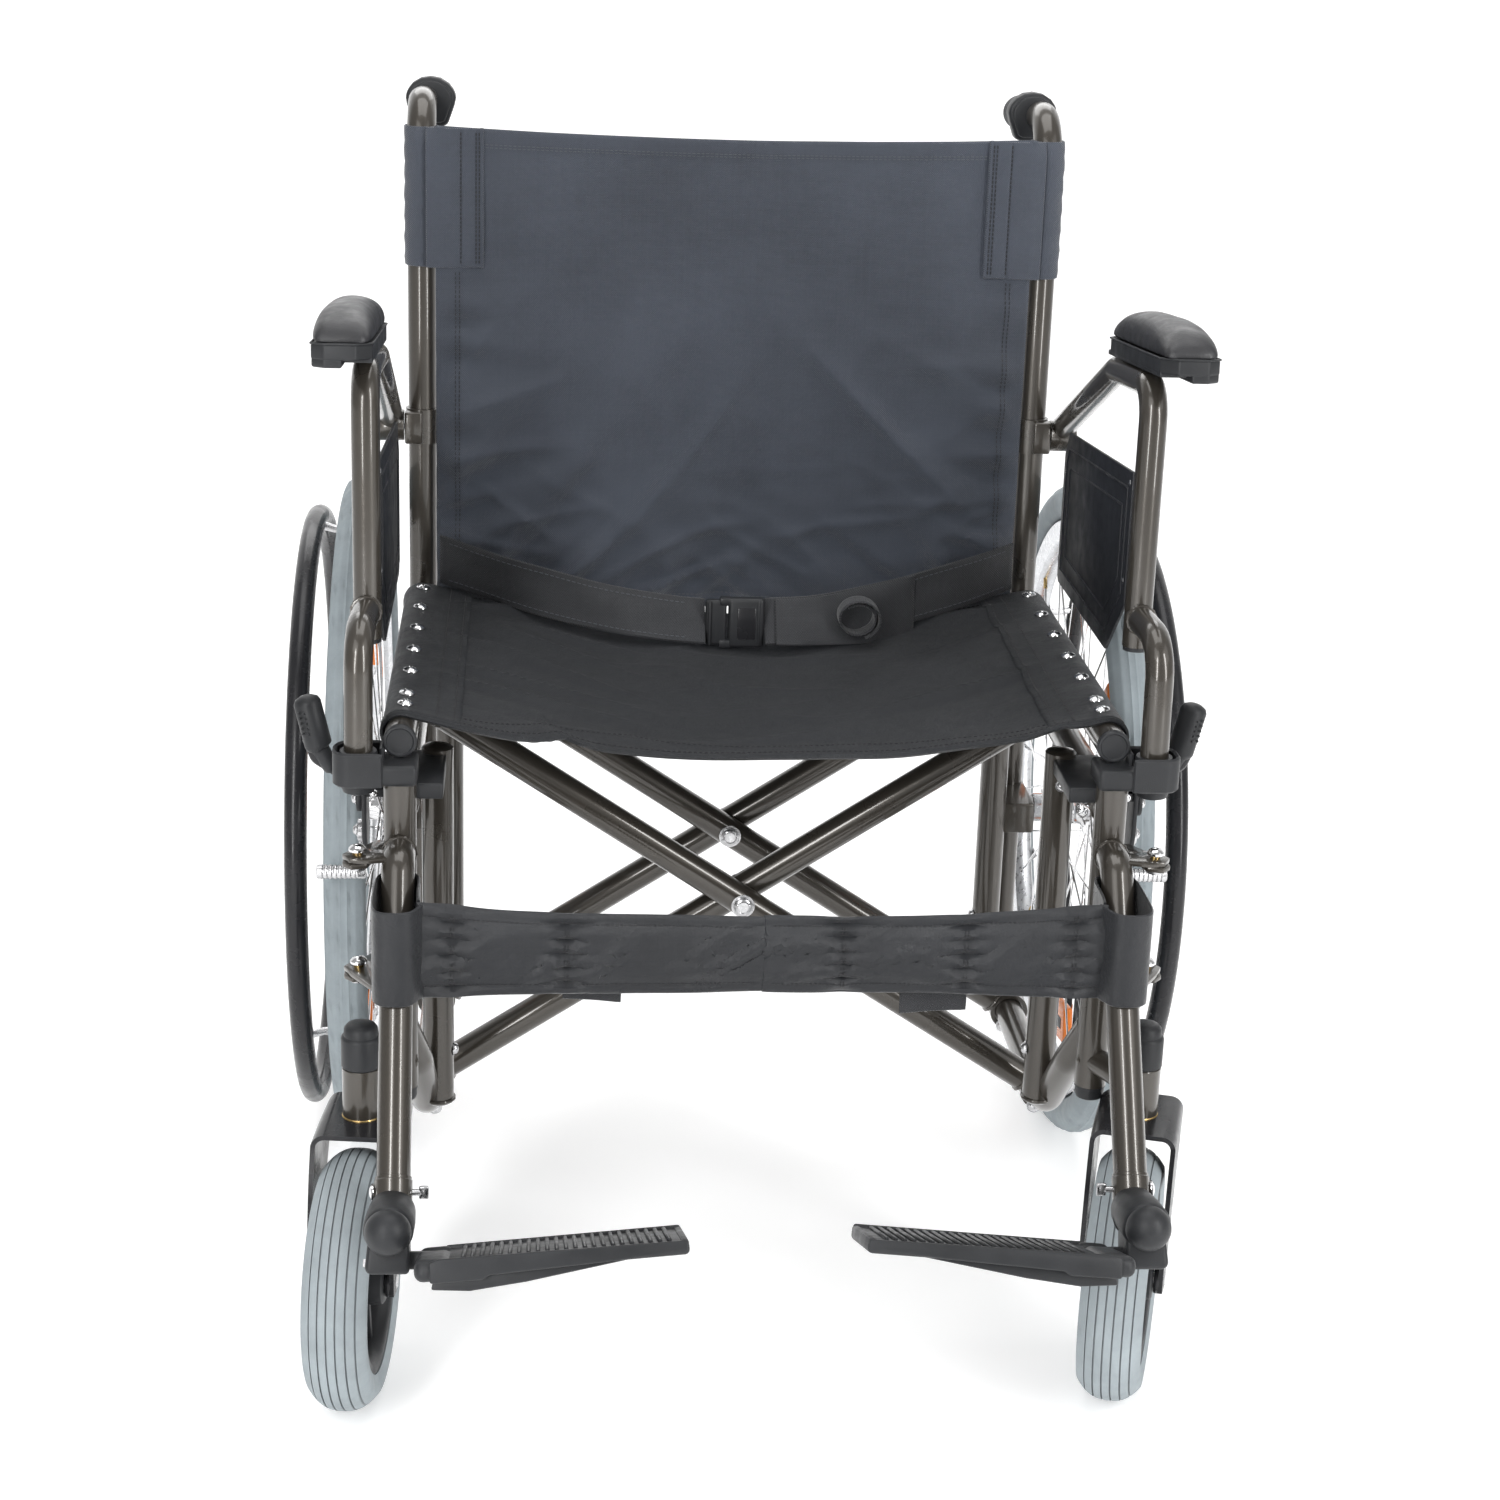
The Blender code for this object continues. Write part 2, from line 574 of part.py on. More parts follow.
# x, y outlines of the hanger's upper and lower plates
HANGER_PLATES = (
    [(0.277, -0.445), (0.277, -0.459), (0.303, -0.465), (0.3135, -0.463),
     (0.3195, -0.452), (0.3135, -0.441), (0.303, -0.439)],
    [(0.2768, -0.508), (0.2768, -0.524), (0.3135, -0.465), (0.3195, -0.452),
     (0.3135, -0.441), (0.303, -0.439), (0.297, -0.447)],
)
BULB_R = 0.0170                      # rounded bar across the bottom of the foot post
BULB_NOSE = (0.2765, -0.672, 0.2120)
BULB_HEEL = (0.2755, -0.602, 0.1990)
PLATE_EDGE = 0.0080                  # radius of the footplate's rounded outer edge
# x, z of the rest of the footplate's section, from the hinge
PLATE_SECTION = [(-0.1795, 0.0080), (-0.1855, 0.0040), (-0.1855, -0.0010), (-0.1795, -0.0060)]


def hanger(hand):
    tubing = tube(HANGER_PATH, hand)
    join(tubing, *[prism(outline, "xy", z + PLATE_RISE, z + PLATE_RISE + PLATE, hand)
                   for outline, z in zip(HANGER_PLATES, LUG_Z)])
    cut(tubing, rod_z(0.30, 0.45, SWING, BORE, hand))
    finish_pair(tubing, "hanger", "paint", hand, SWING_HINGE)


def foot_tip(hand):
    """Places what is drawn level about the footplate hinge, toes up."""
    return (Matrix.Translation(mirror(FOOT_HINGE, hand))
            @ Matrix.Rotation(math.radians(FOOT_TILT), 4, "X"))


def foot_post(hand):
    foot = Vector(HANGER_FOOT)
    down = (foot - Vector(HANGER_KNEE)).normalized()
    post = tube([foot + down * 0.0005, foot + down * 0.0200], hand, 0.0142, 14)
    y = FOOT_LUG_Y
    lugs = [
        box((-0.0070, y - 0.0070, -0.0062), (0.0180, y + 0.0070, 0.0062), hand),
        box((0.0150, y - 0.0160, -0.0062), (0.0400, y + 0.0100, 0.0200), hand),
        rod((0, y - 0.040, 0), (0, y + 0.020, 0), 0.0030, facets=10),
    ]
    for lug in lugs:
        lug.data.transform(foot_tip(hand))
    axis = mirror(BULB_HEEL, hand) - mirror(BULB_NOSE, hand)
    reach = axis.length
    bulb = [(BULB_R * math.sin(math.radians(a)), BULB_R * (1 - math.cos(math.radians(a))))
            for a in (0, 30, 60, 90)]
    bulb += [(BULB_R, reach - 0.006), (0.0130, reach), (0, reach)]
    join(post, tube([foot + down * 0.015, foot + down * 0.0235], hand, 0.0105),
         lathe(bulb, BULB_NOSE, axis, 14, hand), *lugs)
    finish_pair(post, "foot_post", "black", hand, SWING_HINGE)


def footplate(hand):
    section = arc((0, 0), PLATE_EDGE, -90, 90, 6) + PLATE_SECTION
    plate = prism(section, "xz", -0.054, 0.054, hand)
    cut(plate,
        box((-0.0130, FOOT_LUG_Y - 0.0074, -0.03), (0.0225, FOOT_LUG_Y + 0.0074, 0.03), hand),
        rod((0, -0.016, 0), (0, 0.066, 0), 0.0035, facets=10))
    rise = Matrix.Rotation(math.radians(FOOT_RISE), 4, Vector((0, hand, 0)))
    plate.data.transform(foot_tip(hand) @ rise)
    finish_pair(plate, "footplate", "black", hand, FOOT_HINGE)


def calf_strap(hand):
    """Half the strap: the loop round the hanger and the band to the middle."""
    strap = box((0.2592, -0.534, 0.334), (0.2946, -0.4425, 0.396), hand)
    cut(strap, box((0.2632, -0.530, 0.32), (0.2906, -0.4465, 0.41), hand))
    join(strap, box((0.0010, -0.5120, 0.3345), (0.2600, -0.5060, 0.3955), hand))
    finish_pair(strap, "calf_strap", "strap", hand, SWING_HINGE)


# ---------------------------------------------------------------- wheel lock
X_LOCK = 0.312                       # middle of the lever and shoe eyes
LOCK_EYE = (0.3100, 0.3140)          # x range of both eyes
LOCK_PIN = (0.307, 0.3148)           # x range of the mount's pins
LOCK_BORE = (0.300, 0.320)
X_KNOB = 0.3505
SHOE_BAR = (-0.322, 0.3585)          # y, z of the bar across the tyre
# (radius, height) of the lever knob
KNOB_PROFILE = [
    (0, -0.006), (0.0075, -0.004), (0.0105, 0.008), (0.0110, 0.030), (0.0080, 0.0375), (0, 0.039),
]


def brake_mount(hand):
    mount = box((0.2900, -0.372, 0.4400), (0.3095, -0.348, 0.4560), hand)
    join(mount, box((0.3055, -0.374, 0.3950), (0.3096, -0.336, 0.4565), hand),
         rod_x(*LOCK_PIN, BRAKE_PIVOT, PIN, hand),
         rod_x(*LOCK_PIN, SHOE_PIVOT, PIN, hand))
    finish_pair(mount, "brake_mount", "black", hand)


def brake_lever(hand):
    y, z = BRAKE_PIVOT
    lever = rod_x(*LOCK_EYE, BRAKE_PIVOT, 0.0100, hand, 14)
    stalk = [(0.3138, y, z + 0.0062), (0.3138, y, z + 0.013),
             (0.345, y, z + 0.035), (X_KNOB, y, z + 0.048)]
    join(lever, tube(stalk, hand, 0.0036, 8),
         lathe(KNOB_PROFILE, (X_KNOB, y, z + 0.046), Z_AXIS, 12, hand))
    cut(lever, rod_x(*LOCK_BORE, BRAKE_PIVOT, BORE, hand))
    finish_pair(lever, "brake_lever", "black", hand, (X_LOCK, y, z))


def brake_shoe(hand):
    y, z = SHOE_PIVOT
    shoe = rod_x(*LOCK_EYE, SHOE_PIVOT, 0.0095, hand, 14)
    arm = [(y - 0.007, z - 0.004), (y + 0.006, z + 0.006), (-0.3165, 0.361), (-0.324, 0.3535)]
    join(shoe, prism(arm, "yz", 0.3104, 0.3136, hand),
         rod_x(0.3102, 0.3500, SHOE_BAR, 0.0060, hand))
    cut(shoe, rod_x(*LOCK_BORE, SHOE_PIVOT, BORE, hand))
    finish_pair(shoe, "brake_shoe", "chrome", hand, (X_LOCK, y, z))


# --------------------------------------------------------------- cross brace
Y_RAIL_FRONT = -0.410
# (radius, distance) tables along +Y; the barrel's is a closed ring
BARREL = [(0.0134, -0.0125), (0.0172, -0.0125), (0.0172, 0.0125), (0.0134, 0.0125)]
RAIL_PLUG = [
    (0, 0), (0.0118, 0), (0.0130, -0.0012), (0.0130, -0.0050),
    (0.0120, -0.0064), (0.0105, -0.0052), (0, -0.0046),
]


def cross_member(tag, hand):
    """Seat rail of this hand, two tubes, and barrels on the other hand's bottom rail."""
    rail = tube([(X_FRAME, Y_RAIL_FRONT, Z_RAIL), (X_FRAME, 0.005, Z_RAIL)], hand)
    foot = Vector((-X_BASE, 0, Z_BASE))
    head = Vector((X_FRAME, 0, Z_RAIL))
    along = (head - foot).normalized()
    bores = []
    for y in CROSS_Y[tag]:
        shift = Vector((0, y, 0))
        bar = tube([foot + along * 0.0146 + shift, head + shift], hand, TUBE * 0.997)
        join(bar, lathe(BARREL, foot + shift, Y_AXIS, 20, hand, closed=True))
        join(rail, bar)
        bores.append(rod((0, y - 0.02, Z_CROSS), (0, y + 0.02, Z_CROSS), BORE))
    cut(rail, *bores)
    finish(rail, f"cross_{tag}", "paint", mirror(foot, hand))
    plug = lathe(RAIL_PLUG, (X_FRAME, Y_RAIL_FRONT - 0.0004, Z_RAIL), Y_AXIS, 20, hand)
    finish_pair(plug, "rail_plug", "black", hand)


def pivot_bolt(name, y_front, y_rear):
    """Bolt through a crossing pair of tubes, with its head in front of the front one."""
    start = y_front - TUBE - GAP
    grip = y_rear + TUBE + GAP - start
    profile = [
        (0, -0.0052), (0.0050, -0.0050), (0.0078, -0.0025), (0.0082, 0), (PIN, 0), (PIN, grip),
        (0.0078, grip), (0.0078, grip + 0.006), (PIN, grip + 0.0064), (0, grip + 0.0064),
    ]
    bolt = lathe(profile, (0, start, Z_CROSS), Y_AXIS, 12)
    finish(bolt, name, "chrome", (0, 0, Z_CROSS))


# ---------------------------------------------------------------- soft goods
def seat_sling():
    """Laid over both rails, sagging between them."""
    steps = 9
    z_middle = 0.4850
    half = arc((X_FRAME, Z_RAIL), 0.0144, -5, 100, 5)
    x_edge, z_edge = half[-1]
    for i in range(1, steps + 1):
        out = 1 - i / steps
        half.append((x_edge * out, z_middle + (z_edge - z_middle) * out ** 2.1))
    line = half + [(-x, z) for x, z in half[:-1][::-1]]
    finish(sheet(line, 0.0020, "xz", -0.392, -0.003), "seat_sling", "seat")


def back_sling():
    """Panel bowed to the rear between the canes, with a sleeve round each."""
    steps = 12
    half_width = 0.2630
    y_edge, bow = 0.0190, 0.020
    across = [2 * i / steps - 1 for i in range(steps + 1)]
    line = [(half_width * k, y_edge + bow * (1 - k ** 2)) for k in across]
    sling = sheet(line, 0.0024, "xy", 0.484, 0.922)
    sleeve = [(0.0134, 0), (0.0153, 0), (0.0153, 0.098), (0.0134, 0.098)]
    parts = []
    for hand in (-1, 1):
        parts.append(lathe(sleeve, (X_FRAME, Y_CANE, 0.800), Z_AXIS, 20, hand, closed=True))
        parts.append(box((0.2570, 0.0182, 0.8005), (0.2695, 0.0222, 0.8975), hand))
    join(sling, *parts)
    finish(sling, "back_sling", "nylon")


def belt_half(hand):
    """Webbing from beside the cane to the buckle, lifted toward its outer end."""
    steps = 8
    x_outer, run, reach = 0.2600, 0.2330, 0.100
    line = [(hand * (x_outer - run * i / steps),
             -0.006 - reach * math.sin(math.pi / 2 * i / steps)) for i in range(steps + 1)]
    band = sheet(line, 0.0022, "xy", 0.0, 0.042)
    for vert in band.data.vertices:
        vert.co.z += 0.4915 + 0.0245 * (abs(vert.co.x) / x_outer) ** 1.6
    finish_pair(band, "belt", "strap", hand)


# --------------------------------------------------------------------- build
for leftover in list(bpy.data.objects):
    bpy.data.objects.remove(leftover, do_unlink=True)

PAIRED = (side_frame, front_saddle, frame_caps, push_grip, rear_wheel, caster, armrest, hanger,
          foot_post, footplate, calf_strap, brake_mount, brake_lever, brake_shoe)
for hand in (-1, 1):
    for build in PAIRED:
        build(hand)
cross_member("a", 1)
cross_member("b", -1)
for name, y_b, y_a in zip(("pivot_bolt_front", "pivot_bolt_rear"), CROSS_Y["b"], CROSS_Y["a"]):
    pivot_bolt(name, y_b, y_a)
seat_sling()
back_sling()
for hand in (-1, 1):
    belt_half(hand)
buckle = box((-0.0262, -0.1125, 0.4895), (0.0262, -0.0995, 0.5355), bevel=0.003)
finish(buckle, "belt_buckle", "black")

for piece in bpy.data.objects:
    piece.location.y += Y_SHIFT
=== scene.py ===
# A folding wheelchair, standing open on the floor z = 0. Lengths are in metres. X runs across
# it, -Y is the front and +Y the rear. Pieces are drawn with the rear axle at y = 0 and moved
# by AXLE_SHIFT when made. Names ending in _l lie at -X and in _r at +X: sided pieces are
# drawn on the +X side, where +X is outward, and mirrored for _l.
import math
import bpy
import bmesh
from mathutils import Matrix, Vector, noise


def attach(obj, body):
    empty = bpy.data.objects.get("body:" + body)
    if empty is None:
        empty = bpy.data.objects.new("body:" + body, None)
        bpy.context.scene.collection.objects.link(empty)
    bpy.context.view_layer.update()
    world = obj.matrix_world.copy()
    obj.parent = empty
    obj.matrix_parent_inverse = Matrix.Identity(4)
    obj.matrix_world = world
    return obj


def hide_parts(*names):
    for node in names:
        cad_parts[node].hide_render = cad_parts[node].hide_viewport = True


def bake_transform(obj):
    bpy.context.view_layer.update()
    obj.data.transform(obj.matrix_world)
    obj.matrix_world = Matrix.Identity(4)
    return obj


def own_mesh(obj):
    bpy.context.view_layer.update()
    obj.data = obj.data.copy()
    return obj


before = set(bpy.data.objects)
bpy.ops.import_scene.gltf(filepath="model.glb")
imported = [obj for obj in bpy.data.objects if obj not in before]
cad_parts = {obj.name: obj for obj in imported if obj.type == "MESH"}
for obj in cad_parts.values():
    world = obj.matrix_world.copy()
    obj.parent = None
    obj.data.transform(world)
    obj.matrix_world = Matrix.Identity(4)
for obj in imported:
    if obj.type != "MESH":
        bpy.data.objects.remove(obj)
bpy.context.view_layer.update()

AXLE_SHIFT = 0.209             # from the rear axle to the centre of the bounding box
SIGN = {"l": -1, "r": 1}
ACROSS, REARWARD, UP = Vector((1, 0, 0)), Vector((0, 1, 0)), Vector((0, 0, 1))
INWARD, FORWARD, DOWN = -ACROSS, -REARWARD, -UP

TUBE_R, ARM_R, STUB_R = 0.0127, 0.0111, 0.0105
FRAME_X, BASE_X, POST_X = 0.277, 0.262, 0.2515     # main tubes, lower rail, inner posts
ARM_X, SOCKET_X = 0.305, 0.3085                    # armrest tube, socket of its front leg
CANE_Y, FRONT_Y = 0.035, -0.42                     # back cane, front upright
POST_YS = (-0.335, -0.03)                          # inner posts, front and rear
BASE_Z, SIDE_RAIL_Z, SEAT_Z = 0.15, 0.448, 0.5005  # lower, side and seat rails

CASTER_X, CASTER_Y = 0.3055, -0.475                # caster stem
CASTER_TRAIL, CASTER_AXLE_Z = 0.05, 0.1
CASTER_TURN = {"l": -6.0, "r": -17.0}              # degrees about the stem
CASTER_CUP_Z = 0.213

WHEEL_CENTRE = Vector((0.33, 0, 0.305))
LEVER_Y, LEVER_Z = -0.36, 0.435                    # pivots of the wheel lock
SHOE_Y, SHOE_Z = -0.35, 0.405
ARM_HINGE_Y, ARM_HINGE_Z = 0.03, 0.655

# The cane bends rearward into the handle, which falls slightly towards its end.
BEND_R = 0.04
HANDLE_Z, HANDLE_END_Z = 0.937, 0.929
BEND_Z = HANDLE_Z - BEND_R
GRIP_AXIS = Vector((0, 0.125, HANDLE_END_Z - HANDLE_Z)).normalized()
GRIP_ROOT = Vector((FRAME_X, 0, HANDLE_Z - (CANE_Y + BEND_R) * GRIP_AXIS.z / GRIP_AXIS.y))

PAD_PLACE = Matrix.Translation((0, -0.34, 0.771)) @ Matrix.Rotation(math.radians(-5), 4, "X")
HANGER_FOOT = Vector((0.2755, -0.59, 0.218))
FOOT_PLACE = (Matrix.Translation((0.2475, -0.67, 0.191))
              @ Matrix.Rotation(math.radians(-23), 4, "X"))
FOOTPLATE_RISE = Matrix.Rotation(math.radians(4.7), 4, "Y")
CALF_Y = -0.5085

# Cross brace: each side has two bars, which cross the other side's bars at CROSS_Z.
BAR_PITCH = 0.17
BAR_YS = {"a": (-0.2588, -0.2588 + BAR_PITCH), "b": (-0.285, -0.285 + BAR_PITCH)}
CROSS_Z = BASE_Z + BASE_X * (SEAT_Z - BASE_Z) / (FRAME_X + BASE_X)


# ---------------------------------------------------------------- materials
def shade(colour, factor):
    return tuple(x * factor for x in colour)


class Shader:
    """A short way to build a material. Methods return output sockets."""

    def __init__(self, name):
        self.material = bpy.data.materials.new(name)
        self.material.use_nodes = True
        self.tree = self.material.node_tree

    def put(self, socket, value):
        if isinstance(value, bpy.types.NodeSocket):
            self.tree.links.new(value, socket)
        else:
            socket.default_value = value

    def fill(self, node, inputs):
        for name, value in inputs.items():
            self.put(node.inputs[name.replace("_", " ")], value)

    def node(self, kind, **inputs):
        node = self.tree.nodes.new(kind)
        self.fill(node, inputs)
        return node

    def finish(self, **inputs):
        self.fill(self.tree.nodes["Principled BSDF"], inputs)
        return self.material

    def calc(self, operation, a, b=0.0):
        node = self.node("ShaderNodeMath")
        node.operation = operation
        self.put(node.inputs[0], a)
        self.put(node.inputs[1], b)
        return node.outputs[0]

    def mix(self, factor, a, b):
        node = self.node("ShaderNodeMix")
        node.data_type = "RGBA"
        for index, value in ((0, factor), (6, a), (7, b)):
            self.put(node.inputs[index], (*value, 1.0) if isinstance(value, tuple) else value)
        return node.outputs[2]

    def coords(self, scale=(1, 1, 1)):
        source = self.node("ShaderNodeTexCoord")
        mapping = self.node("ShaderNodeMapping", Scale=scale)
        self.put(mapping.inputs["Vector"], source.outputs["Object"])
        return mapping.outputs[0]

    def noise(self, scale, detail, roughness=0.55, coords=None):
        node = self.node("ShaderNodeTexNoise", Scale=scale, Detail=detail, Roughness=roughness)
        self.put(node.inputs["Vector"], coords or self.coords())
        return node.outputs[0]

    def voronoi(self, scale, output="Distance"):
        node = self.node("ShaderNodeTexVoronoi", Scale=scale)
        self.put(node.inputs["Vector"], self.coords())
        return node.outputs[output]

    def ramp(self, value, span, to=(0.0, 1.0)):
        node = self.node("ShaderNodeMapRange", Value=value, From_Min=span[0],
                         From_Max=span[1], To_Min=to[0], To_Max=to[1])
        node.clamp = True
        return node.outputs[0]

    def patches(self, scale, detail, span, to=(0.0, 1.0), roughness=0.55):
        """Noise whose range span is stretched over the range to."""
        return self.ramp(self.noise(scale, detail, roughness), span, to)

    def bump(self, height, strength, distance, **normal):
        return self.node("ShaderNodeBump", Strength=strength, Distance=distance,
                         Height=height, **normal).outputs[0]

    def edge(self, radius):
        """About 1 on a sharp edge and 0 on a flat, from the bevelled normal."""
        bevel = self.node("ShaderNodeBevel", Radius=radius)
        bevel.samples = 4
        geometry = self.node("ShaderNodeNewGeometry")
        dot = self.node("ShaderNodeVectorMath")
        dot.operation = "DOT_PRODUCT"
        self.put(dot.inputs[0], bevel.outputs[0])
        self.put(dot.inputs[1], geometry.outputs["Normal"])
        return self.ramp(dot.outputs["Value"], span=(0.965, 0.75))


def enamel():
    """Dark flecked paint, worn pale on its edges."""
    sh = Shader("enamel")
    fine = sh.noise(scale=1500, detail=2)
    worn = sh.calc("MULTIPLY", sh.edge(radius=0.0008),
                   sh.patches(scale=45, detail=3, span=(0.5, 0.8), to=(0, 0.55)))
    colour = sh.mix(sh.patches(scale=5, detail=3, span=(0.35, 0.7)),
                    (0.045, 0.039, 0.032), (0.054, 0.047, 0.038))
    flecks = sh.ramp(sh.voronoi(scale=2600, output="Color"), span=(0.2, 0.9), to=(0, 0.3))
    colour = sh.mix(flecks, colour, (0.072, 0.064, 0.054))
    return sh.finish(
        Base_Color=sh.mix(worn, colour, (0.24, 0.225, 0.2)),
        Metallic=0.45,
        Roughness=sh.patches(scale=12, detail=3, span=(0.3, 0.75), to=(0.26, 0.32)),
        Coat_Weight=0.7,
        Coat_Roughness=0.06,
        Normal=sh.bump(fine, strength=0.03, distance=0.0002))


def plastic(name, base, rough, grain=1400, strength=0.22, specular=0.32):
    """Moulded plastic: grain is the scale of its surface cells, strength their relief."""
    sh = Shader(name)
    cells = sh.voronoi(grain)
    colour = sh.mix(sh.patches(scale=14, detail=4, span=(0.3, 0.7)),
                    shade(base, 0.8), shade(base, 1.25))
    edge = sh.calc("MULTIPLY", sh.edge(radius=0.001), 0.35)
    return sh.finish(
        Base_Color=sh.mix(edge, colour, tuple(min(1, x * 3 + 0.03) for x in base)),
        Roughness=sh.patches(scale=55, detail=3, span=(0.3, 0.7),
                             to=(rough - 0.06, rough + 0.1)),
        Specular_IOR_Level=specular,
        Normal=sh.bump(cells, strength, distance=0.0003))


def metal(name, base, rough, brushed=0.0, tint=None):
    sh = Shader(name)
    colour = sh.mix(sh.patches(scale=80, detail=5, span=(0.3, 0.75)),
                    base, shade(tint or base, 0.82))
    roughness = sh.patches(scale=240, detail=4, span=(0.3, 0.7), to=(rough * 0.7, rough * 1.5))
    if brushed:
        relief = sh.noise(scale=1, detail=6, roughness=0.7,
                          coords=sh.coords(scale=(3000, 60, 60)))
    else:
        relief = sh.noise(scale=500, detail=3)
    return sh.finish(Base_Color=colour, Metallic=1.0, Roughness=roughness,
                     Normal=sh.bump(relief, strength=brushed or 0.04, distance=0.0003))


def rubber(name, base, shade_and_dirt):
    """Mottled rubber with painted shade in its hollows and dirt in scattered specks."""
    sh = Shader(name)
    colour = sh.mix(sh.patches(scale=30, detail=6, roughness=0.65, span=(0.35, 0.72)),
                    base, shade(base, 0.8))
    # painted shade: hollows found by ambient occlusion are darkened towards the dark colour that
    # also tints the dirt specks
    hollow = sh.node("ShaderNodeAmbientOcclusion", Distance=0.006)
    hollow.samples = 4
    painted_hollow_shade = sh.calc("MULTIPLY", sh.ramp(hollow.outputs["AO"], span=(0.55, 1), to=(1, 0)), 0.75)
    colour = sh.mix(painted_hollow_shade, colour, shade_and_dirt)
    specks = sh.patches(scale=210, detail=5, roughness=0.7, span=(0.62, 0.8), to=(0, 0.35))
    return sh.finish(
        Base_Color=sh.mix(specks, colour, shade_and_dirt),
        Roughness=sh.patches(scale=90, detail=4, span=(0.3, 0.7), to=(0.55, 0.8)),
        Specular_IOR_Level=0.35,
        Normal=sh.bump(sh.noise(scale=1100, detail=3), strength=0.16, distance=0.0005))


def cloth(name, base, pitch, strength, rough, sheen, mottle=0.22, crumple=0.22, axes="xz"):
    """A weave of crossed sines in the plane of two axes, with uneven threads and dye."""
    sh = Shader(name)
    source = sh.node("ShaderNodeTexCoord")
    split = sh.node("ShaderNodeSeparateXYZ")
    sh.put(split.inputs[0], source.outputs["Object"])
    wobble = sh.calc("MULTIPLY", sh.noise(scale=160, detail=3), 0.0011)

    def threads(operation, axis):
        place = sh.calc(operation, split.outputs["xyz".index(axis)], wobble)
        return sh.calc("SINE", sh.calc("MULTIPLY", place, 2 * math.pi / pitch))

    def streaks(axis):
        stretch = tuple(900 if a == axis else 14 for a in "xyz")
        return sh.noise(scale=1, detail=3, roughness=0.6, coords=sh.coords(stretch))

    warp = threads("ADD", axes[0])
    weave = sh.calc("MULTIPLY", warp, threads("SUBTRACT", axes[1]))
    half_weave = sh.calc("MULTIPLY", weave, 0.5)
    height = sh.calc("ADD", half_weave,
                     sh.calc("MULTIPLY", sh.noise(scale=700, detail=3), 0.8))
    streak_u, streak_v = streaks(axes[0]), streaks(axes[1])
    half_u = sh.calc("MULTIPLY", streak_u, 0.5)
    uneven = sh.calc("ADD", half_u, sh.calc("MULTIPLY", streak_v, 0.5))
    colour = sh.mix(sh.ramp(weave, span=(-0.9, 0.9)), shade(base, 0.8), shade(base, 1.22))
    colour = sh.mix(sh.ramp(uneven, span=(0.4, 0.6), to=(0, 0.55)), colour, shade(base, 0.72))
    dye = sh.patches(scale=7, detail=5, roughness=0.6, span=(0.32, 0.7), to=(0, mottle * 2))
    colour = sh.mix(dye, colour, shade(base, 1.5))
    roughness = sh.patches(scale=25, detail=4, span=(0.3, 0.7), to=(rough - 0.1, rough + 0.08))
    normal = sh.bump(height, strength, distance=0.0006)
    normal = sh.bump(sh.noise(scale=30, detail=6, roughness=0.62), crumple, distance=0.006,
                     Normal=normal)
    return sh.finish(Base_Color=colour, Roughness=roughness, Sheen_Weight=sheen,
                     Sheen_Roughness=0.45, Specular_IOR_Level=0.35, Normal=normal)


def leather(name, base):
    sh = Shader(name)
    fine, coarse = sh.voronoi(scale=900), sh.voronoi(scale=260)
    fine = sh.calc("MULTIPLY", fine, 0.7)
    height = sh.calc("ADD", fine, sh.calc("MULTIPLY", coarse, 0.5))
    return sh.finish(
        Base_Color=sh.mix(sh.patches(scale=18, detail=5, span=(0.3, 0.7)),
                          shade(base, 0.8), shade(base, 1.35)),
        Roughness=sh.patches(scale=70, detail=4, span=(0.3, 0.7), to=(0.34, 0.55)),
        Normal=sh.bump(height, strength=0.3, distance=0.0005))


PAINT = enamel()
BLACK = plastic("moulded_black", (0.020, 0.021, 0.023), rough=0.42)
GLOSS = plastic("gloss_black", (0.016, 0.016, 0.018), rough=0.22, grain=300, strength=0.03)
PANEL = plastic("panel_black", (0.014, 0.015, 0.018), rough=0.36, grain=700, strength=0.35)
CHROME = metal("chrome", (0.80, 0.80, 0.81), rough=0.1)
STEEL = metal("zinc_steel", (0.62, 0.62, 0.63), rough=0.24)
ALLOY = metal("alloy", (0.66, 0.67, 0.69), rough=0.3, brushed=0.25)
BRASS = metal("brass", (0.58, 0.42, 0.17), rough=0.26, tint=(0.40, 0.27, 0.12))
# the last colour of each rubber is both its dirt and the painted shade in its hollows
TYRE = rubber("grey_rubber", (0.275, 0.315, 0.335), shade_and_dirt=(0.08, 0.085, 0.09))
CASTER = rubber("grey_caster", (0.315, 0.355, 0.375), shade_and_dirt=(0.20, 0.215, 0.225))
NYLON = cloth("back_oxford", (0.040, 0.047, 0.062), pitch=0.0019, strength=0.95,
              rough=0.6, sheen=0.24, mottle=0.34, crumple=0.42)
SEATCLOTH = cloth("seat_oxford", (0.0082, 0.0094, 0.0116), pitch=0.0017, strength=0.6,
                  rough=0.46, sheen=0.06, mottle=0.3, crumple=0.6, axes="xy")
STRAP = cloth("satin_strap", (0.0155, 0.0165, 0.0190), pitch=0.0011, strength=0.3,
              rough=0.36, sheen=0.12, mottle=0.3, crumple=0.34)
WEB = cloth("webbing", (0.022, 0.023, 0.026), pitch=0.0022, strength=0.8, rough=0.66,
            sheen=0.2)
THREAD = cloth("thread", (0.070, 0.076, 0.086), pitch=0.0008, strength=0.4, rough=0.7,
               sheen=0.2)
DARKTHREAD = cloth("dark_thread", (0.012, 0.012, 0.014), pitch=0.0008, strength=0.4,
                   rough=0.7, sheen=0.2)
VINYL = leather("pad_vinyl", (0.018, 0.018, 0.020))
ORANGE = plastic("reflector", (0.62, 0.16, 0.02), rough=0.18, grain=500, strength=0.5)


